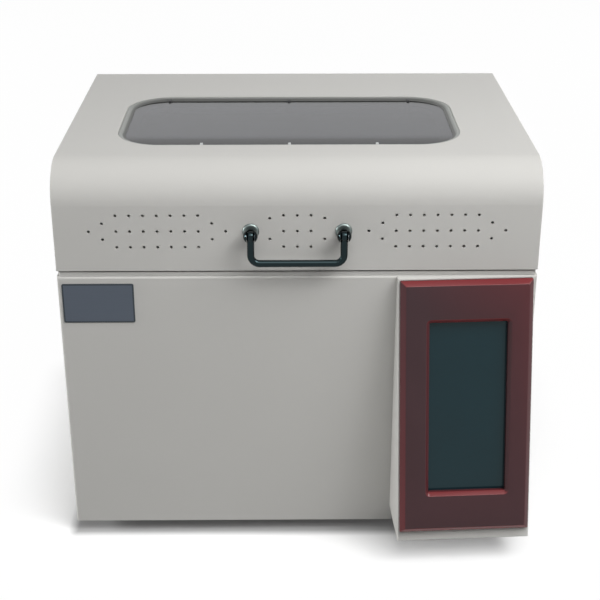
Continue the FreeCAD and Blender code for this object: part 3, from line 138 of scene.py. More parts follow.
def worked(name, sockets, grain, color, tone, roughness, rough_tone, depth, level, mottle):
    """Finish over a grain, which is a node group with its values: colour and roughness follow its mottle
    mask, and the surface lifts by depth with its level mask."""
    made, tree, shader = finish(name, sockets)
    group, values = grain
    texture = node(tree, "Group", values, node_tree=group)
    mask = texture.outputs[mottle]
    feed(tree, mottled(tree, ranged(tree, mask), color, tone), shader.inputs["Base Color"])
    rough = ranged(tree, mask, roughness - rough_tone, roughness + rough_tone)
    feed(tree, rough, shader.inputs["Roughness"])
    bump = node(tree, "Bump", {"Height": texture.outputs[level], "Distance": depth})
    feed(tree, bump.outputs[0], shader.inputs["Normal"])
    return made


pebble = pebble_effect()


def pebbled(name, color, roughness, scale, depth, tone=0.03, rough_tone=0.04, broad=6.0, **sockets):
    """Coated or moulded finish: fine noise lifts the surface by depth, broad noise shifts its tone."""
    plain = {key.replace("_", " "): value for key, value in sockets.items()}
    grain = (pebble, {"Fine": scale, "Broad": broad})
    return worked(name, plain, grain, color, tone, roughness, rough_tone, depth, "Height", "Tone")


def coat(made, *names):
    """Gives solids of the frame a finish."""
    for name in names:
        solid[name].material_slots[0].material = made


cabinet_paint = pebbled("cabinet_paint", PAINT, roughness=0.32, scale=700.0, depth=PAINT_PEBBLE_DEPTH,
                        tone=0.012, Specular_IOR_Level=0.02)
coat(cabinet_paint, "base_tray", "front_panel", "rear_panel", "side_panel_left", "side_panel_right")
coat(cabinet_paint, "top_deck", "control_column")


# Feet
# Four moulded black rubber feet, each a short turned disc with a coned edge and a recess for the screw that
# holds it to the base tray.
FRONT_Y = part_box("front_panel")[0][1] / MM
REAR_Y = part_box("rear_panel")[1][1] / MM
FOOT_X, FOOT_INSET = 218.0, 42.0
FOOT_Y = (FRONT_Y + FOOT_INSET, REAR_Y - FOOT_INSET)
FOOT_PLACES = np.array([(x, y) for x in (-FOOT_X, FOOT_X) for y in FOOT_Y])
FOOT_RADIUS, FOOT_HEIGHT, FOOT_CONE = 17.0, 15.0, 3.0
FOOT_RECESS, FOOT_RECESS_DEPTH, FOOT_HOLE = 6.0, 7.0, 2.2
FOOT_SECTION = [(FOOT_HOLE, FOOT_RECESS_DEPTH), (FOOT_RECESS, FOOT_RECESS_DEPTH), (FOOT_RECESS, 0.0),
                (FOOT_RADIUS - FOOT_CONE, 0.0), (FOOT_RADIUS, FOOT_CONE), (FOOT_RADIUS, FOOT_HEIGHT),
                (FOOT_HOLE, FOOT_HEIGHT)]
FOOT_ROUND = 0.9
FOOT_RUBBER = (0.016, 0.016, 0.017)
FOOT_STEPS = 48
ROUND_STEPS, ROUND_MOST = 4, 0.45


def softened(corners, setback):
    """Closed section with every corner P rounded: (1-s)^2 A + 2 s (1-s) P + s^2 B, where A and B lie setback
    from P on its two sides, but no further than a share of each side."""
    corners = np.array(corners, float)

    def toward(target):
        away = target - corners
        length = np.linalg.norm(away, axis=1, keepdims=True)
        return corners + away * np.minimum(setback / length, ROUND_MOST)

    a = toward(np.roll(corners, 1, 0))[:, None]
    b = toward(np.roll(corners, -1, 0))[:, None]
    s = np.linspace(0, 1, ROUND_STEPS)[None, :, None]
    return ((1 - s) ** 2 * a + 2 * s * (1 - s) * corners[:, None] + s ** 2 * b).reshape(-1, 2)


def turned(section, steps):
    """Section (radius, height) turned about the Z axis: (r cos t, r sin t, h) on a grid of section and t."""
    turn = np.arange(steps) * 2 * math.pi / steps
    radius, height = np.array(section, float).T[:, :, None]
    return np.stack([radius * np.cos(turn), radius * np.sin(turn), height + 0 * turn], -1)


def piece(name, points, body, made, close_rows=True, sharp=35.0, rim=None):
    """Mesh through grids of points in mm: one quad for each cell of copies, rows and columns. Columns close
    on themselves and rows may, points that fall together are merged, and the faces are turned outward. The
    rim, where it is given, marks each point for the material."""
    points = np.array(points, float)
    points = points.reshape((-1,) + points.shape[-3:])
    index = np.arange(points[..., 0].size).reshape(points.shape[:3])
    low, high = (index, np.roll(index, -1, 1)) if close_rows else (index[:, :-1], index[:, 1:])
    quads = np.stack([low, np.roll(low, -1, 2), np.roll(high, -1, 2), high], -1)
    mesh = bpy.data.meshes.new(name)
    mesh.from_pydata((points.reshape(-1, 3) * MM).tolist(), [], quads.reshape(-1, 4).tolist())
    if rim is not None:
        marks = mesh.attributes.new("rim", "FLOAT", "POINT")
        marks.data.foreach_set("value", np.ravel(rim).astype(np.float32))
    work = bmesh.new()
    work.from_mesh(mesh)
    bmesh.ops.remove_doubles(work, verts=work.verts, dist=0.001 * MM)
    bmesh.ops.recalc_face_normals(work, faces=work.faces)
    work.to_mesh(mesh)
    work.free()
    mesh.polygons.foreach_set("use_smooth", np.ones(len(mesh.polygons), bool))
    mesh.set_sharp_from_angle(angle=math.radians(sharp))
    mesh.materials.append(made)
    shape = bpy.data.objects.new(name, mesh)
    bpy.context.scene.collection.objects.link(shape)
    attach(shape, body)
    return shape


foot_rubber = pebbled("foot_rubber", FOOT_RUBBER, roughness=0.62, scale=900.0, depth=0.05 * MM, tone=0.15)
foot = turned(softened(FOOT_SECTION, FOOT_ROUND), FOOT_STEPS)
foot_grids = foot[None] + np.insert(FOOT_PLACES, 2, 0.0, axis=1)[:, None, None]
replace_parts(piece("rubber_feet", foot_grids, "cabinet", foot_rubber), "feet")


# Cabinet screws
# Zinc-plated pan-head screws with a cross recess, which hold the feet, rear panel, spigot, fan and lower
# hinge leaves. Each head is a low dome over a flat seat, and the recess narrows to its bottom.
SCREW_HEAD, SCREW_HEAD_HEIGHT, SCREW_DOME = 3.4, 1.8, 0.85
SCREW_SHANK, SCREW_TIP, SCREW_LENGTH, FOOT_SCREW_LENGTH = 1.8, 1.2, 7.0, 15.0
RECESS_REACH, RECESS_WIDTH, RECESS_DEPTH, RECESS_TAPER = 1.9, 0.95, 1.0, 0.55
RECESS_CORE, RECESS_WALL, RECESS_LIP = 0.6, 0.12, 0.10
ARM_MOST, LIP_ROOM = 0.7, 0.02
RECESS_RINGS = [0.0, 0.55, 0.9, 1.3, 1.7, RECESS_REACH]
DOME_RINGS = [RECESS_REACH + RECESS_WALL, 2.4, 2.8, 3.1, 3.3, SCREW_HEAD]
PANEL_SCREW_X, PANEL_SCREW_Z = (-210.0, -70.0, 70.0, 210.0), 28.0
SPIGOT_X, SPIGOT_Z, SPIGOT_HOLE, SPIGOT_FLANGE = -95.0, 285.0, 24.32, 2.0
FAN_X, FAN_Z, FAN_HOLE, FAN_GUARD = 150.0, 85.0, 35.75, 1.2
HINGE_X, HINGE_HOLE, HINGE_LEAF, HINGE_BASE_Z = 175.0, 22.0, 2.0, 313.0
REAR_SPINS = [0.2, 0.9, 1.3, 0.6, 0.4, 1.1, 0.05]
ZINC = (0.62, 0.63, 0.64)


def screw_grid(length):
    """Screw about the Z axis with its seat at 0: rows run from the recess over the dome and seat to the tip.
    In each quarter turn the columns stand at t = asin(w / 2r) from the axes, so that they follow the sides
    of the cross arms, and the dome is h (1 - k (r / R)^4)."""
    radius = np.array(RECESS_RINGS + DOME_RINGS)
    arm = np.arcsin(np.clip(RECESS_WIDTH / 2 / np.maximum(radius, RECESS_CORE), 0, ARM_MOST))
    lip = np.minimum(arm + RECESS_LIP, math.pi / 4 - LIP_ROOM)
    middle = np.full_like(radius, math.pi / 4)
    quarter = np.stack([0 * radius, arm, lip, middle, math.pi / 2 - lip, math.pi / 2 - arm], -1)
    turn = (np.arange(4)[None, :, None] * math.pi / 2 + quarter[:, None]).reshape(len(radius), -1)
    in_recess = np.arange(len(radius))[:, None] < len(RECESS_RINGS)
    in_arm = np.tile(np.array([1, 1, 0, 0, 0, 1]), 4) * in_recess
    in_arm = np.maximum(in_arm, radius[:, None] < RECESS_CORE)
    dome = SCREW_HEAD_HEIGHT * (1 - SCREW_DOME * (radius / SCREW_HEAD) ** 4)
    height = dome[:, None] - in_arm * RECESS_DEPTH * (1 - RECESS_TAPER * radius[:, None] / RECESS_REACH)
    head = np.stack([radius[:, None] * np.cos(turn), radius[:, None] * np.sin(turn), height], -1)
    below = [(SCREW_HEAD, 0.0), (SCREW_SHANK, 0.0), (SCREW_SHANK, SCREW_TIP - length), (0.0, -length)]
    reach, level = np.array(below).T[:, :, None]
    shank = np.stack([reach * np.cos(turn[-1]), reach * np.sin(turn[-1]), level + 0 * turn[-1]], -1)
    return np.concatenate([head, shank])


def driven(grid, places, spins):
    """Copies of a screw with its head toward +Y at places (x, y, z), each turned by its spin."""
    places = np.array(places, float)
    spins = np.resize(spins, len(places))[:, None, None]
    x = grid[..., 0] * np.cos(spins) - grid[..., 1] * np.sin(spins)
    z = grid[..., 0] * np.sin(spins) + grid[..., 1] * np.cos(spins)
    return np.stack([x, np.broadcast_to(grid[..., 2], x.shape), z], -1) + places[:, None, None]


def square(x, y, z, reach):
    """Corners of a square of holes in the plane of the rear panel."""
    return [(x + i * reach, y, z + k * reach) for i in (-1, 1) for k in (-1, 1)]


def spangle_effect():
    """Cells of a crystal pattern as on zinc plating, and fine noise for its tooth."""
    tree, given, out = effect("spangle", {"Cells": 120.0, "Tooth": 900.0}, ("Flake", "Height"))
    place = node(tree, "TexCoord", {}).outputs["Object"]
    cells = node(tree, "TexVoronoi", {"Vector": place, "Scale": given["Cells"]})
    tooth = node(tree, "TexNoise", {"Vector": place, "Scale": given["Tooth"], "Detail": 2.0})
    feed(tree, cells.outputs["Color"], out["Flake"])
    feed(tree, tooth.outputs[0], out["Height"])
    return tree


spangle = spangle_effect()


def plated(name, color, roughness, cells, tone=0.05, rough_tone=0.05, depth=0.01 * MM):
    """Metal with a crystal pattern in its tone and gloss."""
    grain = (spangle, {"Cells": cells})
    metal = {"Metallic": 1.0}
    return worked(name, metal, grain, color, tone, roughness, rough_tone, depth, "Height", "Flake")


screw_zinc = plated("screw_zinc", ZINC, roughness=0.27, cells=400.0)
panel_places = [(x, REAR_Y, PANEL_SCREW_Z) for x in PANEL_SCREW_X]
panel_places += square(SPIGOT_X, REAR_Y + SPIGOT_FLANGE, SPIGOT_Z, SPIGOT_HOLE)
panel_places += square(FAN_X, REAR_Y + FAN_GUARD, FAN_Z, FAN_HOLE)
hinge_holes = [x + i for x in (-HINGE_X, HINGE_X) for i in (-HINGE_HOLE, 0.0, HINGE_HOLE)]
hinge_places = [(x, REAR_Y + HINGE_LEAF, HINGE_BASE_Z) for x in hinge_holes]
rear_screws = driven(screw_grid(SCREW_LENGTH), panel_places + hinge_places, REAR_SPINS)
foot_screws = screw_grid(FOOT_SCREW_LENGTH) * np.array([1, 1, -1])
foot_screws = foot_screws + np.insert(FOOT_PLACES, 2, FOOT_RECESS_DEPTH, axis=1)[:, None, None]
cabinet_heads = np.concatenate([rear_screws, foot_screws])
screws = piece("cabinet_pan_heads", cabinet_heads, "cabinet", screw_zinc, close_rows=False)
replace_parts(screws, "cabinet_screws")


# Nameplate
# A thin plate of anodised aluminium, bonded to the front panel. It is blue-grey with fine lines along it and
# has a darker border.
PLATE_WIDTH, PLATE_HEIGHT, PLATE_CORNER, PLATE_THICKNESS = 78.0, 46.0, 2.0, 0.8
PLATE_X, PLATE_Z = -216.5, 297.0
PLATE_BORDER = 1.7
PLATE_BORDER_FADE = 0.05
PLATE_SECTION = [(0.0, 0.0), (0.0, PLATE_THICKNESS - 0.2), (-0.12, PLATE_THICKNESS - 0.06),
                 (-0.3, PLATE_THICKNESS), (-PLATE_BORDER, PLATE_THICKNESS),
                 (-PLATE_BORDER - PLATE_BORDER_FADE, PLATE_THICKNESS)]
PLATE_MARKS = np.array([1, 1, 1, 1, 1, 1, 0, 0])
PLATE_BLUE = (0.070, 0.086, 0.112)
PLATE_EDGE = (0.024, 0.033, 0.041, 1.0)


def rounded_outline(width, length, corner, steps=6):
    """Rounded rectangle about the origin and its outward normals: corner centre + r (cos t, sin t)."""
    turn = np.arange(4)[:, None] * math.pi / 2 + np.linspace(0, math.pi / 2, steps)
    normal = np.stack([np.cos(turn), np.sin(turn)], -1)
    centre = np.array([(1, 1), (-1, 1), (-1, -1), (1, -1)]) * (width / 2 - corner, length / 2 - corner)
    return (centre[:, None] + corner * normal).reshape(-1, 2), normal.reshape(-1, 2)


def carried(outline, normal, section):
    """Section (out, up) carried round an outline: (outline + out * normal, up) on a grid of section and
    outline."""
    out, up = np.array(section, float).T[:, :, None]
    flat = outline + out[..., None] * normal
    return np.concatenate([flat, np.broadcast_to(up[..., None], flat[..., :1].shape)], -1)


def brushing_effect():
    """Noise drawn out along one axis for the lines of a brushed or rolled sheet."""
    tree, given, out = effect("brushing", {"X": 30.0, "Y": 900.0, "Z": 900.0}, ("Streak",))
    place = node(tree, "TexCoord", {}).outputs["Object"]
    scale = node(tree, "CombineXYZ", {"X": given["X"], "Y": given["Y"], "Z": given["Z"]})
    drawn = node(tree, "VectorMath", {0: place, 1: scale.outputs[0]}, operation="MULTIPLY")
    inputs = {"Vector": drawn.outputs[0], "Scale": 1.0, "Detail": 4.0, "Roughness": 0.65}
    feed(tree, node(tree, "TexNoise", inputs).outputs[0], out["Streak"])
    return tree


brushing = brushing_effect()


def border_and_painted_light(tree):
    """The piece's own mark from 0 to 1: the darker border of the plate, painted glow and highlight on the
    bezel's bevels, and painted shade on the seal's lip.
    """
    return node(tree, "Attribute", {}, attribute_name="rim").outputs["Fac"]


plate_finish, tree, shader = finish("plate_anodised", {"Metallic": 0.35})
streak = node(tree, "Group", {"X": 25.0, "Z": 2600.0}, node_tree=brushing).outputs["Streak"]
field = mottled(tree, ranged(tree, streak), PLATE_BLUE, tone=0.07)
feed(tree, toned(tree, border_and_painted_light(tree), field, PLATE_EDGE), shader.inputs["Base Color"])
feed(tree, ranged(tree, streak, low=0.34, high=0.44), shader.inputs["Roughness"])
rows = carried(*rounded_outline(PLATE_WIDTH, PLATE_HEIGHT, PLATE_CORNER), PLATE_SECTION)
middle = np.broadcast_to((0, 0, PLATE_THICKNESS), rows[:1].shape)
plate = np.concatenate([0 * middle, rows, middle])
plate_rim = np.broadcast_to(PLATE_MARKS[:, None], plate.shape[:2])
plate = np.stack([plate[..., 0] + PLATE_X, FRONT_Y - plate[..., 2], plate[..., 1] + PLATE_Z], -1)
nameplate = piece("bare_plate", plate, "cabinet", plate_finish, close_rows=False, rim=plate_rim)
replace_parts(nameplate, "nameplate")


# Control bezel
# A thick plate of dark red acrylic with polished bevels, bonded to the sloping face of the column. Its bevels
# are painted a brighter red as painted glow and highlight, weighted by which way each faces, and its dark
# face is painted lighter toward its upper right as painted reflection and toward its foot.
COLUMN_X, COLUMN_Z, COLUMN_FORWARD = 182.502, 328.0, 6.0
COLUMN_Y = FRONT_Y - COLUMN_FORWARD
COLUMN_LEAN, COLUMN_RISE = 64.0, 293.0
COLUMN_TILT = math.atan2(COLUMN_LEAN, COLUMN_RISE)
COLUMN_TURN = math.radians(3.0)
BEZEL_WIDTH, BEZEL_LENGTH, BEZEL_THICKNESS, BEZEL_BEVEL = 145.0, 286.108, 10.0, 5.5
BEZEL_TOP = 1.0
CUT_WIDTH, CUT_LENGTH, CUT_BEVEL, CUT_X, CUT_TOP = 85.5, 193.0, 4.0, 2.0, 46.5
BEZEL_EDGE = BEZEL_THICKNESS - BEZEL_BEVEL
CUT_EDGE = BEZEL_THICKNESS - CUT_BEVEL
# Rows of the two edges: way in from the outline or out from the cut-out, corner radius, height.
OUTER_ROWS = [(0.0, 1.5, 0.0), (0.0, 1.5, BEZEL_EDGE - 0.4), (0.1, 1.45, BEZEL_EDGE),
              (0.4, 1.4, BEZEL_EDGE + 0.4), (BEZEL_BEVEL - 0.5, 0.9, BEZEL_THICKNESS - 0.42),
              (BEZEL_BEVEL - 0.15, 0.85, BEZEL_THICKNESS - 0.12), (BEZEL_BEVEL + 0.35, 0.8, BEZEL_THICKNESS)]
INNER_ROWS = [(CUT_BEVEL + 0.4, 5.5, BEZEL_THICKNESS), (CUT_BEVEL - 0.2, 5.2, BEZEL_THICKNESS - 0.14),
              (CUT_BEVEL - 0.6, 4.9, BEZEL_THICKNESS - 0.5), (0.3, 1.9, CUT_EDGE + 0.35),
              (0.06, 1.6, CUT_EDGE), (0.0, 1.5, CUT_EDGE - 0.4), (0.0, 1.5, 0.0)]
# Painted glow and highlight: its share on each row, its weights by which way a bevel faces, painted
# reflection
# toward the face's upper right and painted light at its foot, and the colour that the bevels are painted.
ROW_PAINTED_GLOW = np.array([0.25, 0.5, 0.9, 1, 1, 0.9, 0, 0, 0.9, 1, 1, 0.9, 0.6, 0.2])[:, None]
PAINTED_GLOW_UP, PAINTED_GLOW_DOWN, PAINTED_GLOW_LEFT, PAINTED_GLOW_LEFT_FOOT, PAINTED_GLOW_RIGHT = 0.54, 0.60, 0.10, 0.22, 0.16
FACE_PAINTED_REFLECTION_RIGHT, FACE_PAINTED_LIGHT_FOOT = 0.19, 0.045
FACE_POLISH, BEVEL_POLISH = 0.12, 0.26
ACRYLIC_FACE = (0.041, 0.0190, 0.0225)
ACRYLIC_PAINTED_GLOW = (0.240, 0.015, 0.017, 1.0)


def stacked(rows):
    """Rounded outlines one above the other, each given as width, length, corner, height and centre, with the
    way that each point of them faces."""
    made = [rounded_outline(width, length, corner) for width, length, corner, *_ in rows]
    place = np.array([row[4] for row in rows], float)
    height = np.array([row[3] for row in rows], float)
    flat = np.stack([points for points, _ in made]) + place[:, None]
    level = np.broadcast_to(height[:, None, None], flat[..., :1].shape)
    return np.concatenate([flat, level], -1), made[0][1]


def on_column(points):
    """Turns points drawn flat, with the top edge of the face through the origin, onto the sloping face:
    first up about X by the slope, then about Z by the column's turn."""
    x, y, z = np.moveaxis(points, -1, 0)
    up = math.pi / 2 - COLUMN_TILT
    back = y * math.cos(up) - z * math.sin(up)
    return np.stack([x * math.cos(COLUMN_TURN) - back * math.sin(COLUMN_TURN) + COLUMN_X,
                     x * math.sin(COLUMN_TURN) + back * math.cos(COLUMN_TURN) + COLUMN_Y,
                     y * math.sin(up) + z * math.cos(up) + COLUMN_Z], -1)


def bezel_painted_glow(grid, facing):
    """Share of painted glow and highlight at each point: on a bevel, the sum of the squared parts of its
    facing toward up, down, left and right, each times its own weight, and on the face a slow rise to its
    upper right, as painted reflection, and to its foot."""
    of_outside = np.arange(len(grid))[:, None] < len(OUTER_ROWS)
    across, upward = np.moveaxis(np.where(of_outside, 1.0, -1.0)[..., None] * facing, -1, 0)
    down = np.clip(-grid[..., 1] / BEZEL_LENGTH, 0, 1)
    right = np.clip(grid[..., 0] / BEZEL_WIDTH + 0.5, 0, 1)
    left_weight = PAINTED_GLOW_LEFT + np.where(of_outside, PAINTED_GLOW_LEFT_FOOT * down, 0.0)
    bevel = PAINTED_GLOW_UP * np.clip(upward, 0, 1) ** 2 + PAINTED_GLOW_DOWN * np.clip(-upward, 0, 1) ** 2
    bevel += left_weight * np.clip(-across, 0, 1) ** 2 + PAINTED_GLOW_RIGHT * np.clip(across, 0, 1) ** 2
    face = FACE_PAINTED_REFLECTION_RIGHT * right ** 2 * (1 - down) + FACE_PAINTED_LIGHT_FOOT * down ** 2
    return np.where(ROW_PAINTED_GLOW == 0, face, ROW_PAINTED_GLOW * bevel)


outer = (0.0, -BEZEL_TOP - BEZEL_LENGTH / 2)
inner = (CUT_X, -BEZEL_TOP - CUT_TOP - CUT_LENGTH / 2)
rows = [(BEZEL_WIDTH - 2 * i, BEZEL_LENGTH - 2 * i, c, z, outer) for i, c, z in OUTER_ROWS]
rows += [(CUT_WIDTH + 2 * o, CUT_LENGTH + 2 * o, c, z, inner) for o, c, z in INNER_ROWS]
bezel_grid, facing = stacked(rows)
bezel_acrylic, tree, shader = finish("bezel_acrylic", {"IOR": 1.49, "Specular IOR Level": 0.25})
cloud = node(tree, "Group", {"Broad": 9.0}, node_tree=pebble).outputs["Tone"]
face = mottled(tree, ranged(tree, cloud), ACRYLIC_FACE, tone=0.12)
# The bevels take the painted glow and highlight colour by their mark.
feed(tree, toned(tree, border_and_painted_light(tree), face, ACRYLIC_PAINTED_GLOW), shader.inputs["Base Color"])
polish = node(tree, "MapRange", {"Value": border_and_painted_light(tree), 3: FACE_POLISH, 4: BEVEL_POLISH}).outputs[0]
feed(tree, polish, shader.inputs["Roughness"])
bezel_shape = piece("acrylic_bezel", on_column(bezel_grid), "cabinet", bezel_acrylic,
                    sharp=60.0, rim=bezel_painted_glow(bezel_grid, facing))
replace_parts(bezel_shape, "bezel")


# Touch screen
# A dark touch glass with a blue-green cast, bonded under the cut-out of the bezel, over a display module in
# a black moulded frame.
SCREEN_TINT = (0.0035, 0.0160, 0.0215)
SCREEN_MIRROR = (0.75, 0.97, 1.0, 1.0)
MODULE_BLACK = (0.020, 0.021, 0.022)
screen_glass = pebbled("screen_glass", SCREEN_TINT, roughness=0.06, scale=40.0, depth=0.002 * MM, tone=0.10,
                       rough_tone=0.015, broad=12.0, Specular_IOR_Level=0.32, Specular_Tint=SCREEN_MIRROR)
coat(screen_glass, "touch_glass")
coat(pebbled("black_plastic", MODULE_BLACK, roughness=0.46, scale=1100.0, depth=0.03 * MM, tone=0.10),
     "display_module")


# Heated chamber
# A folded and welded stainless tub with mineral wool round it and a zinc-plated casing outside. A bent
# reflector, rails, a welded wire rack and a perforated baffle stand in it.
STAINLESS = (0.56, 0.555, 0.545)
MIRROR_STEEL = (0.66, 0.655, 0.64)
RACK_STEEL = (0.60, 0.595, 0.58)
CASING = (0.50, 0.51, 0.52)
WOOL = (0.62, 0.58, 0.47)
SHEET_LINES = (22.0, 1500.0, 1500.0)


def brushed(name, color, roughness, lines, tone=0.05, rough_tone=0.06, depth=0.006 * MM):
    """Metal with fine lines along the axis that has the smallest of the three line densities."""
    grain = (brushing, dict(zip(("X", "Y", "Z"), lines)))
    metal = {"Metallic": 1.0}
    return worked(name, metal, grain, color, tone, roughness, rough_tone, depth, "Streak", "Streak")


chamber_steel = brushed("chamber_steel", STAINLESS, roughness=0.30, lines=SHEET_LINES)
coat(chamber_steel, "chamber_tub", "baffle_plate", "baffle_stays", "rack_rails", "thermocouple")
coat(brushed("mirror_steel", MIRROR_STEEL, roughness=0.16, lines=(14.0, 700.0, 700.0), tone=0.03,
             rough_tone=0.04), "heater_reflector")
coat(brushed("rack_wire", RACK_STEEL, roughness=0.24, lines=(900.0, 40.0, 900.0)), "board_rack")
casing_zinc = plated("casing_zinc", CASING, roughness=0.36, cells=90.0, tone=0.07)
coat(casing_zinc, "chamber_casing")
mineral_wool = pebbled("mineral_wool", WOOL, roughness=0.95, scale=260.0, depth=0.8 * MM, tone=0.14,
                       broad=60.0)
coat(mineral_wool, "chamber_insulation")


# Heaters
# Four quartz tubes across the chamber, each with a coil of resistance wire inside and glazed ceramic caps
# that carry its ends through the walls.
HEATER_FRONT, HEATER_PITCH, HEATER_COUNT, HEATER_Z = 88.0, 46.0, 4, 239.0
HEATER_Y = FRONT_Y + HEATER_FRONT + HEATER_PITCH * np.arange(HEATER_COUNT)
COIL_REACH, COIL_RADIUS, COIL_PITCH, COIL_WIRE = 186.0, 2.7, 2.6, 0.38
COIL_STEPS, WIRE_STEPS = 11, 5
RESISTANCE_WIRE = (0.20, 0.17, 0.15)
QUARTZ = (0.93, 0.94, 0.95)
CERAMIC = (0.72, 0.69, 0.62)


def ended(tube):
    """Closes a tube with the middle of its first and last ring."""
    ends = np.broadcast_to(tube[[0, -1]].mean(1, keepdims=True), (2,) + tube.shape[1:])
    return np.concatenate([ends[:1], tube, ends[1:]])


def coil_grid():
    """Wire of radius w round a helix: c(t) = (p t / 2 pi, R cos t, R sin t), with a ring of points at each t
    in the plane of the radial direction and the axis."""
    turns = 2 * COIL_REACH / COIL_PITCH
    t = np.linspace(0, turns * 2 * math.pi, int(turns * COIL_STEPS))[:, None]
    ring = np.arange(WIRE_STEPS) * 2 * math.pi / WIRE_STEPS
    radius = COIL_RADIUS + COIL_WIRE * np.cos(ring)
    along = COIL_PITCH * t / (2 * math.pi) - COIL_REACH + COIL_WIRE * np.sin(ring)
    return ended(np.stack([along, radius * np.cos(t), radius * np.sin(t)], -1))


coil_wire = brushed("coil_wire", RESISTANCE_WIRE, roughness=0.42, lines=(600.0, 600.0, 600.0), tone=0.12)
coils = coil_grid() + np.stack([0 * HEATER_Y, HEATER_Y, 0 * HEATER_Y + HEATER_Z], -1)[:, None, None]
piece("heater_coils", coils, "cabinet", coil_wire, close_rows=False, sharp=80.0)
coat(pebbled("quartz", QUARTZ, roughness=0.16, scale=300.0, depth=0.01 * MM, tone=0.03, IOR=1.46,
             Transmission_Weight=1.0), "heater_tubes")
coat(pebbled("ceramic", CERAMIC, roughness=0.34, scale=500.0, depth=0.03 * MM, tone=0.05), "heater_caps")


# Hot-air fan
# A pressed stainless wheel on a ground steel shaft in the rear of the chamber. A motor on a zinc-plated
# bracket behind the chamber drives it.
GROUND_STEEL = (0.60, 0.60, 0.60)
MOTOR_CAN = (0.40, 0.41, 0.42)
coat(brushed("fan_steel", STAINLESS, roughness=0.28, lines=(500.0, 60.0, 500.0)), "convection_impeller")
ground_steel = brushed("ground_steel", GROUND_STEEL, roughness=0.20, lines=(1500.0, 25.0, 1500.0))
coat(ground_steel, "fan_shaft")
coat(plated("motor_can", MOTOR_CAN, roughness=0.34, cells=150.0), "fan_motor")
coat(casing_zinc, "motor_bracket")


# Fume outlet
# A rolled stainless spigot with a flange that is screwed to the rear panel, and a zinc-plated duct that
# leads to it from the chamber.
coat(brushed("spigot_steel", STAINLESS, roughness=0.26, lines=(900.0, 30.0, 900.0)), "exhaust_spigot")
coat(casing_zinc, "exhaust_duct")


# Electronics
# A vented supply, a finned heat sink with two solid-state relays, a controller board on standoffs and a
# terminal strip. All of them stand on the base tray.
SUPPLY_ZINC = (0.58, 0.59, 0.60)
SINK_ALUMINIUM = (0.68, 0.69, 0.70)
RELAY_BLACK = (0.030, 0.031, 0.034)
STRIP_BLACK = (0.040, 0.040, 0.042)
BOARD_GREEN = (0.012, 0.075, 0.035)
BOARD_PARTS = (0.030, 0.031, 0.033, 1.0)
BOARD_TOP, BOARD_FADE = 28.1 * MM, 0.2 * MM
coat(plated("supply_case", SUPPLY_ZINC, roughness=0.33, cells=60.0, tone=0.06), "power_supply")
coat(brushed("sink_aluminium", SINK_ALUMINIUM, roughness=0.32, lines=(1300.0, 20.0, 1300.0)),
     "relay_heatsink")
coat(pebbled("relay_plastic", RELAY_BLACK, roughness=0.40, scale=900.0, depth=0.03 * MM, tone=0.08),
     "solid_state_relays")
coat(pebbled("strip_plastic", STRIP_BLACK, roughness=0.44, scale=900.0, depth=0.03 * MM, tone=0.08),
     "terminal_block")
board_finish, tree, shader = finish("circuit_board", {"Roughness": 0.38})
height = node(tree, "SeparateXYZ", {0: node(tree, "TexCoord", {}).outputs["Object"]}).outputs[2]
above = node(tree, "MapRange", {"Value": height, 1: BOARD_TOP, 2: BOARD_TOP + BOARD_FADE}).outputs[0]
cloud = node(tree, "Group", {"Fine": 500.0, "Broad": 90.0}, node_tree=pebble).outputs["Tone"]
laminate = mottled(tree, ranged(tree, cloud), BOARD_GREEN, tone=0.25)
feed(tree, toned(tree, above, laminate, BOARD_PARTS), shader.inputs["Base Color"])
coat(board_finish, "controller_board")


# Cooling fan
# An axial fan with a frame and rotor moulded in black plastic, behind a stamped and plated guard that is
# screwed on from outside.
FAN_BLACK = (0.017, 0.017, 0.018)
GUARD_STEEL = (0.55, 0.56, 0.57)
fan_plastic = pebbled("fan_plastic", FAN_BLACK, roughness=0.50, scale=1000.0, depth=0.03 * MM, tone=0.12)
coat(fan_plastic, "cooling_fan_frame", "cooling_fan_rotor")
coat(plated("guard_steel", GUARD_STEEL, roughness=0.24, cells=500.0), "fan_guard")


# Mains inlet and power switch
# Black mouldings that sit in cut-outs of the rear panel. The rocker is glossier than its housing, with a
# ring and a bar printed in white on its two faces.
INLET_BLACK = (0.018, 0.018, 0.019)
ROCKER_BLACK = (0.014, 0.014, 0.015)
MARK_WHITE = (0.66, 0.66, 0.64)
SWITCH_X, SWITCH_Z, ROCKER_TILT = -132.0, 78.0, math.radians(9.0)
ROCKER_WAIST, ROCKER_LIP, ROCKER_RISE = 2.5, 4.5, 7.33
MARK_DEEP, MARK_PROUD, MARK_ROUND = -0.10, 0.10, 0.06
RING_INNER, RING_OUTER, RING_STEPS = 1.15, 1.65, 40
BAR_WIDTH, BAR_LENGTH, BAR_CORNER = 0.5, 3.2, 0.2
RING_SECTION = [(RING_INNER, MARK_DEEP), (RING_OUTER, MARK_DEEP), (RING_OUTER, MARK_PROUD),
                (RING_INNER, MARK_PROUD)]
BAR_SECTION = [(-BAR_CORNER, MARK_DEEP), (0.0, MARK_DEEP), (0.0, MARK_PROUD - MARK_ROUND),
               (-MARK_ROUND, MARK_PROUD), (-BAR_CORNER, MARK_PROUD)]


def on_rocker(points, side):
    """Turns points drawn flat onto the middle of the upper (1) or lower (-1) face of the rocker: along the
    face by y, out of it by z, then about the pins by the rocker's tilt."""
    x, y, z = np.moveaxis(points, -1, 0)
    slope = math.atan2(ROCKER_LIP - ROCKER_WAIST, ROCKER_RISE)
    out = (ROCKER_WAIST + ROCKER_LIP) / 2 + y * math.sin(slope) + z * math.cos(slope)
    up = side * (ROCKER_RISE / 2 + y * math.cos(slope) - z * math.sin(slope))
    return np.stack([x + SWITCH_X, out * math.cos(ROCKER_TILT) - up * math.sin(ROCKER_TILT) + REAR_Y,
                     out * math.sin(ROCKER_TILT) + up * math.cos(ROCKER_TILT) + SWITCH_Z], -1)


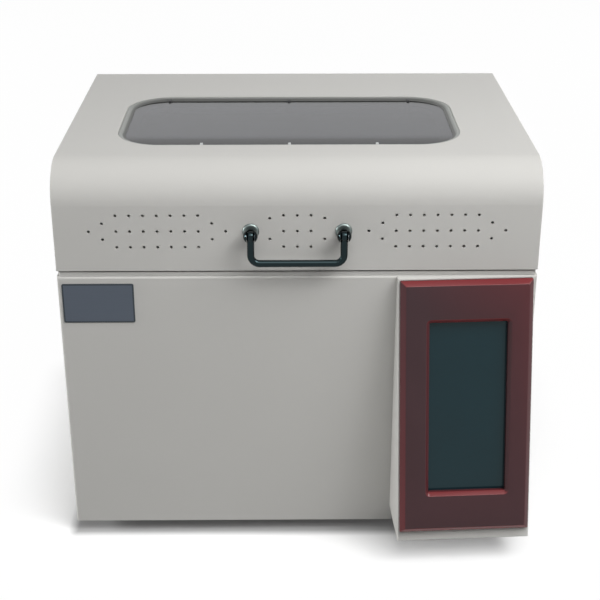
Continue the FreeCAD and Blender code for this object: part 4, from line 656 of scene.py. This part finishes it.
coat(pebbled("inlet_plastic", INLET_BLACK, roughness=0.42, scale=1100.0, depth=0.03 * MM, tone=0.10),
     "mains_inlet", "switch_housing")
coat(pebbled("rocker_plastic", ROCKER_BLACK, roughness=0.26, scale=1100.0, depth=0.01 * MM, tone=0.10),
     "switch_rocker")
mark_white = pebbled("mark_white", MARK_WHITE, roughness=0.45, scale=900.0, depth=0.02 * MM, tone=0.04)
ring = on_rocker(turned(softened(RING_SECTION, MARK_ROUND), RING_STEPS), 1)
piece("rocker_ring_mark", ring, "power_rocker", mark_white)
bar = carried(*rounded_outline(BAR_WIDTH, BAR_LENGTH, BAR_CORNER), BAR_SECTION)
bar[[0, -1]] *= (0, 1, 1)
piece("rocker_bar_mark", on_rocker(bar, -1), "power_rocker", mark_white, close_rows=False)


# Lid shell
# One steel sheet folded over the front with a large bend and welded at its ends. It has an opening for the
# window and is powder coated like the cabinet.
coat(cabinet_paint, "lid_shell")


# Window seal
# A grey rubber profile, extruded and joined into a ring, that lines the edge of the window opening. Its lip
# lies on the glass and is painted dark as shade, and along the rear its inner wall is painted dark as shade
# too.
LID_TOP, LID_SHEET, GLASS_TOP = 452.0, 1.5, 448.5
LID_UNDER = LID_TOP - LID_SHEET
WINDOW_WIDTH, WINDOW_LENGTH, WINDOW_CORNER = 386.0, 195.0, 50.0
WINDOW_X, WINDOW_FORWARD = -8.0, 20.5
WINDOW_Y = (FRONT_Y + REAR_Y) / 2 - WINDOW_FORWARD
SEAL_LIP, SEAL_FOOT, SEAL_ROUND = -8.2, 8.0, 0.5
SEAL_SECTION = [(SEAL_LIP, GLASS_TOP + 0.05), (SEAL_LIP, GLASS_TOP + 0.25), (-5.9, GLASS_TOP + 0.5),
                (-4.0, LID_TOP - 1.5), (-3.2, LID_TOP - 0.6), (-0.5, LID_TOP - 0.15), (-0.05, LID_TOP - 1.0),
                (-0.05, LID_UNDER), (SEAL_FOOT, LID_UNDER), (SEAL_FOOT, GLASS_TOP + 0.05)]
# Share of painted shade on each row of the section, round most of the ring and along its rear.
SEAL_PAINTED_SHADE = np.array([1, 1, 0.9, 0.15, 0, 0, 0, 0, 0, 0])
SEAL_PAINTED_SHADE_REAR = np.array([1, 1, 1, 1, 0.5, 0.2, 0, 0, 0, 0])
SEAL_RUBBER = (0.235, 0.243, 0.230)
SEAL_SHADE = (0.050, 0.051, 0.048, 1.0)
seal_rubber, tree, shader = finish("seal_rubber", {"Roughness": 0.50})
grain = node(tree, "Group", {}, node_tree=pebble)
outer_grey = mottled(tree, ranged(tree, grain.outputs["Tone"]), SEAL_RUBBER, tone=0.05)
feed(tree, toned(tree, border_and_painted_light(tree), outer_grey, SEAL_SHADE), shader.inputs["Base Color"])
bump = node(tree, "Bump", {"Height": grain.outputs["Height"], "Distance": 0.02 * MM})
feed(tree, bump.outputs[0], shader.inputs["Normal"])
outline, normal = rounded_outline(WINDOW_WIDTH, WINDOW_LENGTH, WINDOW_CORNER, steps=25)
seal_grid = carried(outline + (WINDOW_X, WINDOW_Y), normal, softened(SEAL_SECTION, SEAL_ROUND))
rearward = np.clip(normal[:, 1], 0, 1)
# Painted shade: the lip everywhere, and more of the inner wall where the ring faces the rear.
dark, rear_painted_shade = (np.repeat(marks, ROUND_STEPS)[:, None] for marks in (SEAL_PAINTED_SHADE, SEAL_PAINTED_SHADE_REAR))
seal_painted_shade = dark * (1 - rearward) + rear_painted_shade * rearward
seal = piece("window_rubber", seal_grid, "lid", seal_rubber, rim=seal_painted_shade)
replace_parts(seal, "window_seal")


# Window glass
# A tinted safety pane that is bent down a little along its front edge and bedded in the rubber profile, and
# a flat inner pane below it.
GLASS_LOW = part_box("window_glass")[0][2] / MM
GLASS_EDGE, GLASS_CHAMFER = 5.0, 0.4
PANE_DIP, PANE_REACH = 2.4, 42.0
PANE_INSET, PANE_BAND = 5.5, 44.0
BAND_ROWS, MIDDLE_ROWS = 15, 10
GLASS_TINT = (0.15, 0.155, 0.185)
INNER_TINT = (0.10, 0.105, 0.11)


def pane_grid(outline, normal):
    """Pane about the origin whose top dips toward its front edge, z = top - dip (1 - d / reach)^2 at a
    distance d from that edge, up to its reach. Its rows run in from the rim, then shrink to the middle."""
    inset = PANE_INSET + PANE_BAND * np.linspace(0, 1, BAND_ROWS)
    band = outline - inset[:, None, None] * normal
    middle = band[-1] * np.linspace(1 - 1 / MIDDLE_ROWS, 0, MIDDLE_ROWS)[:, None, None]
    flat = np.concatenate([band, middle])
    front = np.clip((flat[..., 1] + WINDOW_LENGTH / 2 - PANE_INSET) / PANE_REACH, 0, 1)
    top = np.concatenate([flat, (GLASS_TOP - PANE_DIP * (1 - front) ** 2)[..., None]], -1)
    edge_section = [(GLASS_EDGE, GLASS_LOW), (GLASS_EDGE, GLASS_TOP - GLASS_CHAMFER),
                    (GLASS_EDGE - GLASS_CHAMFER, GLASS_TOP)]
    edge = carried(outline, normal, edge_section)
    return np.concatenate([edge[:1] * (0, 0, 1), edge, top])


window_tint = pebbled("window_tint", GLASS_TINT, roughness=0.05, scale=30.0, depth=0.001 * MM, tone=0.02,
                      rough_tone=0.01, IOR=1.45, Transmission_Weight=1.0)
pane = pane_grid(outline, normal) + (WINDOW_X, WINDOW_Y, 0.0)
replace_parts(piece("bent_pane", pane, "lid", window_tint, close_rows=False), "window_glass")
inner_tint = pebbled("inner_tint", INNER_TINT, roughness=0.05, scale=30.0, depth=0.001 * MM, tone=0.02,
                     rough_tone=0.01, IOR=1.2, Transmission_Weight=1.0)
coat(inner_tint, "inner_glass")


# Window clips and pads
# Six short tabs on the glass beside the seal, light along the front and dark along the rear, over pads in
# the same plastics. A black clamp frame under the lid presses the glass up against the seal.
PAD_FRONT = (0.42, 0.43, 0.43)
PAD_REAR = (0.020, 0.020, 0.021)
CLAMP_BLACK = (0.014, 0.014, 0.015)
CLIP_WIDTH, CLIP_LENGTH, CLIP_CORNER, CLIP_HEIGHT, CLIP_SUNK = 3.2, 8.0, 0.8, 4.0, 2.0
CLIP_SECTION = [(0.0, 0.0), (0.0, CLIP_HEIGHT - 0.5), (-0.15, CLIP_HEIGHT - 0.15), (-0.5, CLIP_HEIGHT)]
FRONT_CLIP_X, FRONT_CLIP_INSET = 97.0, 5.6
REAR_CLIP_X, REAR_CLIP_INSET = 146.0, 3.0
pad_finish, tree, shader = finish("window_pads", {"Roughness": 0.55})
depth = node(tree, "SeparateXYZ", {0: node(tree, "TexCoord", {}).outputs["Object"]}).outputs[1]
rear = node(tree, "Math", {0: depth, 1: WINDOW_Y * MM}, operation="GREATER_THAN").outputs[0]
grain = node(tree, "Group", {}, node_tree=pebble).outputs["Height"]
light_pad = mottled(tree, grain, PAD_FRONT, tone=0.1)
dark_pad = mottled(tree, grain, PAD_REAR, tone=0.2)
feed(tree, toned(tree, rear, light_pad, dark_pad), shader.inputs["Base Color"])
coat(pad_finish, "window_pads")
clip = carried(*rounded_outline(CLIP_WIDTH, CLIP_LENGTH, CLIP_CORNER), CLIP_SECTION)
clip = np.concatenate([clip[:1] * (0, 1, 1), clip, clip[-1:] * (0, 1, 1)])
clip_reach = (WINDOW_LENGTH - CLIP_LENGTH) / 2
clip_rows = [(x, FRONT_CLIP_INSET - clip_reach) for x in (-FRONT_CLIP_X, 0.0, FRONT_CLIP_X)]
clip_rows += [(x, clip_reach - REAR_CLIP_INSET) for x in (-REAR_CLIP_X, 0.0, REAR_CLIP_X)]
clip_places = np.array([(WINDOW_X + x, WINDOW_Y + y, GLASS_TOP - CLIP_SUNK) for x, y in clip_rows])
clips = clip[None] + clip_places[:, None, None]
piece("glass_clips", clips, "lid", pad_finish, close_rows=False)
clamp_black = pebbled("clamp_black", CLAMP_BLACK, roughness=0.60, scale=700.0, depth=0.03 * MM, tone=0.05)
coat(clamp_black, "window_clamp", "liner_spacers")


# Lid lining
# A stainless liner and a zinc-plated underplate that close the lid from below, with mineral wool between them
# and the shell.
coat(brushed("liner_steel", STAINLESS, roughness=0.30, lines=SHEET_LINES), "lid_liner")
coat(casing_zinc, "lid_underplate")
coat(mineral_wool, "lid_insulation")


# Lid gasket
# A bulb profile of red silicone rubber, joined into a ring and pressed round the liner. It seals the closed
# lid over the chamber.
LINER_WIDTH, LINER_LENGTH, LINER_CORNER = 392.0, 248.0, 14.0
GASKET_TOP, GASKET_ROUND = 341.0, 1.0
GASKET_SECTION = [(0.3, GASKET_TOP), (0.3, 339.4), (1.2, 336.2), (3.0, 334.4), (6.0, 334.4), (7.8, 336.2),
                  (8.7, 339.4), (8.7, GASKET_TOP)]
SILICONE_RED = (0.30, 0.07, 0.05)
gasket_rubber = pebbled("gasket_rubber", SILICONE_RED, roughness=0.55, scale=700.0, depth=0.03 * MM,
                        tone=0.08)
outline, normal = rounded_outline(LINER_WIDTH, LINER_LENGTH, LINER_CORNER, steps=13)
gasket = carried(outline + (0.0, WINDOW_Y), normal, softened(GASKET_SECTION, GASKET_ROUND))
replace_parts(piece("bulb_gasket", gasket, "lid", gasket_rubber), "lid_gasket")


# Lid screws
# Six zinc-plated pan-head screws with a cross recess, like those of the cabinet. They hold the upper hinge
# leaves to the rear of the lid.
HINGE_LID_Z = 355.0
LID_SPINS = [0.7, 0.1, 1.2, 0.5]
lid_places = [(x, REAR_Y + HINGE_LEAF, HINGE_LID_Z) for x in hinge_holes]
lid_screws = driven(screw_grid(SCREW_LENGTH), lid_places, LID_SPINS)
lid_heads = piece("lid_pan_heads", lid_screws, "lid", screw_zinc, close_rows=False)
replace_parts(lid_heads, "lid_fasteners")


# Lid handle
# A drop bail bent from round rod that hangs by its eyes on bright cross pins in two slotted ball posts.
# Posts and bail are black-chromed and the rosettes behind them are satin chrome. Nuts hold the posts inside
# the lid.
HANDLE_X, HANDLE_OUT, HANDLE_Z = 49.5, 15.0, 380.3
HANDLE_AT = (0.0, FRONT_Y - HANDLE_OUT, HANDLE_Z)
POSTS = np.array([(-HANDLE_X, 0.0, 0.0), (HANDLE_X, 0.0, 0.0)])[:, None, None]
BAIL_DROP, BAIL_BEND, BAIL_ROD, BAIL_END = 31.0, 9.5, 3.9, 2.5
BEND_STEPS, ROD_STEPS = 15, 24
EYE_BALL, EYE_HALF, EYE_BORE, EYE_STEPS, EYE_SIDES = 5.6, 4.1, 1.6, 19, 24
ROSETTE_RADIUS, ROSETTE_FACE, ROSETTE_RIM, ROSETTE_HEIGHT = 9.0, 7.6, 1.1, 2.6
ROSETTE_BORE, ROSETTE_ROUND, ROSETTE_STEPS = 2.2, 0.7, 48
ROSETTE_SECTION = [(ROSETTE_BORE, 0.0), (ROSETTE_RADIUS, 0.0), (ROSETTE_RADIUS, ROSETTE_RIM),
                   (ROSETTE_FACE, ROSETTE_HEIGHT), (ROSETTE_BORE, ROSETTE_HEIGHT)]
NUT_BORE, NUT_RADIUS, NUT_HEIGHT, NUT_SIDES = 2.35, 4.0, 3.2, 6
NUT_SECTION = [(NUT_BORE, 0.0), (NUT_RADIUS, 0.0), (NUT_RADIUS, NUT_HEIGHT), (NUT_BORE, NUT_HEIGHT)]
DARK_CHROME = (0.017, 0.026, 0.028)
PIN_CHROME = (0.42, 0.44, 0.45)
SATIN_CHROME = (0.155, 0.185, 0.178)
dark_chrome = brushed("dark_chrome", DARK_CHROME, roughness=0.07, lines=(400.0, 400.0, 400.0), tone=0.06,
                      rough_tone=0.02, depth=0.001 * MM)
coat(dark_chrome, "handle_posts")
pin_chrome = brushed("pin_chrome", PIN_CHROME, roughness=0.16, lines=(400.0, 400.0, 400.0), tone=0.04,
                     rough_tone=0.03)
coat(pin_chrome, "handle_pins")
satin_chrome = brushed("satin_chrome", SATIN_CHROME, roughness=0.42, lines=(700.0, 700.0, 700.0), tone=0.04)


def bail_rod():
    """Round rod along the bail: straight legs and bar joined by quarter bends, c(t), with a ring of points
    c + R (cos a n + sin a Y) about each of its stations, where n is the in-plane normal."""
    bend = np.linspace(0, math.pi / 2, BEND_STEPS)
    low = np.stack([BAIL_BEND * (1 - np.cos(bend)), -BAIL_BEND * np.sin(bend)], -1)
    corner = low + (-HANDLE_X, BAIL_BEND - BAIL_DROP)
    left = np.concatenate([[(-HANDLE_X, -BAIL_END)], corner])
    sideways = np.concatenate([[(1.0, 0.0)], np.stack([np.cos(bend), np.sin(bend)], -1)])
    line = np.concatenate([left, left[::-1] * (-1, 1)])
    across = np.concatenate([sideways, sideways[::-1] * (-1, 1)])
    ring = np.arange(ROD_STEPS) * 2 * math.pi / ROD_STEPS
    flat = line[:, None] + BAIL_ROD * np.cos(ring)[None, :, None] * across[:, None]
    y = np.broadcast_to(BAIL_ROD * np.sin(ring), flat.shape[:2])
    return ended(np.stack([flat[..., 0], y, flat[..., 1]], -1))


def bail_eye():
    """Ball-shaped eye turned about the pin: sqrt(R^2 - x^2) between two cheeks, with a bore through it."""
    x = EYE_HALF * np.sin(np.linspace(-math.pi / 2, math.pi / 2, EYE_STEPS))
    ball = np.stack([np.sqrt(EYE_BALL ** 2 - x ** 2), x], -1)
    section = np.concatenate([[(EYE_BORE, -EYE_HALF)], ball, [(EYE_BORE, EYE_HALF)]])
    return turned(section, EYE_SIDES)[..., [2, 0, 1]]


def at_posts(grid, start, way):
    """Copies of a turned piece at both posts, with its axis along Y from start, forward (-1) or back (1)."""
    x, z, out = np.moveaxis(grid, -1, 0)
    return np.stack([x, start + way * out, z + HANDLE_Z], -1) + POSTS


bail = piece("bent_bail", bail_rod() + HANDLE_AT, "handle", dark_chrome, close_rows=False)
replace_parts(bail, "handle_bail")
piece("bail_eyes", bail_eye() + POSTS + HANDLE_AT, "handle", dark_chrome)
rosettes = at_posts(turned(softened(ROSETTE_SECTION, ROSETTE_ROUND), ROSETTE_STEPS), FRONT_Y, -1)
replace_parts(piece("turned_rosettes", rosettes, "lid", satin_chrome), "handle_rosettes")
nuts = at_posts(turned(NUT_SECTION, NUT_SIDES), FRONT_Y + LID_SHEET, 1)
piece("handle_nuts", nuts, "lid", screw_zinc)


# Hinges
# Two butt hinges of folded stainless with rolled knuckles on a ground pin. Their lower leaves are screwed
# to the rear panel and their upper leaves to the lid.
HINGE_STEEL = (0.58, 0.58, 0.57)
hinge_steel = brushed("hinge_steel", HINGE_STEEL, roughness=0.28, lines=(30.0, 1200.0, 1200.0))
coat(hinge_steel, "hinge_base_leaves", "hinge_lid_leaves")
coat(ground_steel, "hinge_pins")


# Floor
# A plain pale studio floor. It looks white away from the part, keeps the part's shadow near it, is painted
# darker right below the part as shade, and throws little light back onto it.
FLOOR_SIZE = 30.0
FLOOR_WHITE, SHADOW_WHITE = 0.98, 0.05
FLOOR_GREY = (0.92, 0.92, 0.92, 1.0)
FLOOR_PAINTED_SHADE = (0.35, 0.35, 0.35, 1.0)
FLOOR_BOUNCE = (0.40, 0.40, 0.40, 1.0)
PAINTED_SHADE_EDGE, SHADOW_REACH = 0.012, 0.12
half = FLOOR_SIZE / 2
corners = [(-half, -half, 0), (half, -half, 0), (half, half, 0), (-half, half, 0)]
floor_mesh = bpy.data.meshes.new("floor")
floor_mesh.from_pydata(corners, [], [(0, 1, 2, 3)])
floor = bpy.data.objects.new("floor", floor_mesh)
bpy.context.scene.collection.objects.link(floor)


def seen_rays(tree):
    """1 for the rays that look at a surface, straight or by way of metal or glass, and 0 for those that
    light it."""
    path = node(tree, "LightPath", {}).outputs
    inputs = {0: path["Is Camera Ray"], 1: path["Is Glossy Ray"]}
    seen = node(tree, "Math", inputs, operation="MAXIMUM").outputs[0]
    return node(tree, "Math", {0: seen, 1: path["Is Transmission Ray"]}, operation="MAXIMUM").outputs[0]


def from_footprint(tree):
    """Distance of a floor point p from the cabinet's footprint: the length of max(|p - middle| - half, 0),
    where half is half the footprint's size."""
    place = node(tree, "TexCoord", {}).outputs["Object"]
    middle = (0.0, (FRONT_Y + REAR_Y) / 2 * MM, 0.0)
    half_size = (cad_high[0], (REAR_Y - FRONT_Y) / 2 * MM, 0.0)
    place = node(tree, "VectorMath", {0: place, 1: middle}, operation="SUBTRACT").outputs[0]
    place = node(tree, "VectorMath", {0: place}, operation="ABSOLUTE").outputs[0]
    beside = node(tree, "VectorMath", {0: place, 1: half_size}, operation="SUBTRACT").outputs[0]
    beside = node(tree, "VectorMath", {0: beside, 1: (0.0, 0.0, 0.0)}, operation="MAXIMUM").outputs[0]
    return node(tree, "VectorMath", {0: beside}, operation="LENGTH").outputs["Value"]


floor_white, tree, shader = finish("floor", {"Roughness": 0.9})
far = from_footprint(tree)
# Painted shade: the floor is painted darker inside the footprint, fading out over a short edge.
under = node(tree, "MapRange", {"Value": far, 1: 0.0, 2: PAINTED_SHADE_EDGE}).outputs[0]
bounced = node(tree, "LightPath", {}).outputs["Is Diffuse Ray"]
floor_grey_with_painted_shade = toned(tree, under, FLOOR_PAINTED_SHADE, FLOOR_GREY)
feed(tree, toned(tree, bounced, floor_grey_with_painted_shade, FLOOR_BOUNCE), shader.inputs["Base Color"])
clear = node(tree, "MapRange", {"Value": far, 1: 0.0, 2: SHADOW_REACH, 3: SHADOW_WHITE, 4: FLOOR_WHITE},
             interpolation_type="SMOOTHSTEP").outputs[0]
part_white = node(tree, "Math", {0: seen_rays(tree), 1: clear}, operation="MULTIPLY").outputs[0]
white = node(tree, "Emission", {"Color": (1, 1, 1, 1), "Strength": 1.0})
mix = node(tree, "MixShader", {0: part_white, 1: shader.outputs[0], 2: white.outputs[0]})
feed(tree, mix.outputs[0], tree.nodes["Material Output"].inputs["Surface"])
floor_mesh.materials.append(floor_white)


# Light and camera
# Soft boxes in a white studio: a key high on the right, fills above, in front, low on the left and behind,
# and two small ones for glints. The part is seen from a little above through a long lens.
SKY = 0.030
SKY_WHITE = (0.985, 0.99, 1.0, 1.0)
PART_MIDDLE, LID_MIDDLE, PART_LOW = (0.0, 0.0, 0.3), (0.0, 0.0, 0.4), (0.0, 0.0, 0.2)
COLUMN_SIDE = (0.2, -0.2, 0.2)
LENS = 77.07
CAMERA = (-0.0089, -1.4441, 0.8792)
CAMERA_TILT, CAMERA_TURN = 65.56, -0.53
world = bpy.data.worlds.new("studio")
bpy.context.scene.world = world
world.use_nodes = True
tree = world.node_tree
strength = node(tree, "MapRange", {"Value": seen_rays(tree), 3: SKY, 4: 1.0}).outputs[0]
feed(tree, strength, tree.nodes["Background"].inputs["Strength"])
feed(tree, SKY_WHITE, tree.nodes["Background"].inputs["Color"])


def softbox(name, place, target, size, power, mirrored=True):
    """Square area lamp that looks at a point and, where it is mirrored, shows in polished surfaces."""
    lamp = bpy.data.lights.new(name, "AREA")
    lamp.size = size
    lamp.energy = power
    made = bpy.data.objects.new(name, lamp)
    bpy.context.scene.collection.objects.link(made)
    made.visible_glossy = mirrored
    made.location = place
    away = np.array(target, float) - np.array(place, float)
    tilt = math.pi / 2 + math.atan2(away[2], math.hypot(away[0], away[1]))
    made.rotation_euler = (tilt, 0, math.atan2(away[1], away[0]) - math.pi / 2)


softbox("above_front", (0.0, -1.05, 3.0), PART_MIDDLE, size=1.7, power=16.0)
softbox("front", (0.0, -2.0, 2.6), PART_MIDDLE, size=1.4, power=15.5)
softbox("high_right", (1.35, -0.85, 1.95), LID_MIDDLE, size=1.1, power=36.5)
softbox("right", (0.75, -1.2, 1.9), LID_MIDDLE, size=0.9, power=11.0)
softbox("left", (-2.2, -0.2, 0.6), COLUMN_SIDE, size=0.35, power=34.0)
softbox("left_glint", (-1.5, -2.4, 2.4), PART_MIDDLE, size=0.22, power=4.0)
softbox("right_glint", (1.5, -2.4, 2.4), PART_MIDDLE, size=0.22, power=5.0)
softbox("behind_left", (-1.9, 2.3, 0.4), PART_LOW, size=0.6, power=22.0, mirrored=False)
softbox("behind_right", (1.9, 2.3, 0.4), PART_LOW, size=0.6, power=22.0, mirrored=False)

lens = bpy.data.cameras.new("camera")
lens.lens = LENS
camera = bpy.data.objects.new("camera", lens)
bpy.context.scene.collection.objects.link(camera)
camera.location = CAMERA
camera.rotation_euler = (math.radians(CAMERA_TILT), 0, math.radians(CAMERA_TURN))
bpy.context.scene.camera = camera
bpy.context.scene.view_settings.view_transform = "Standard"
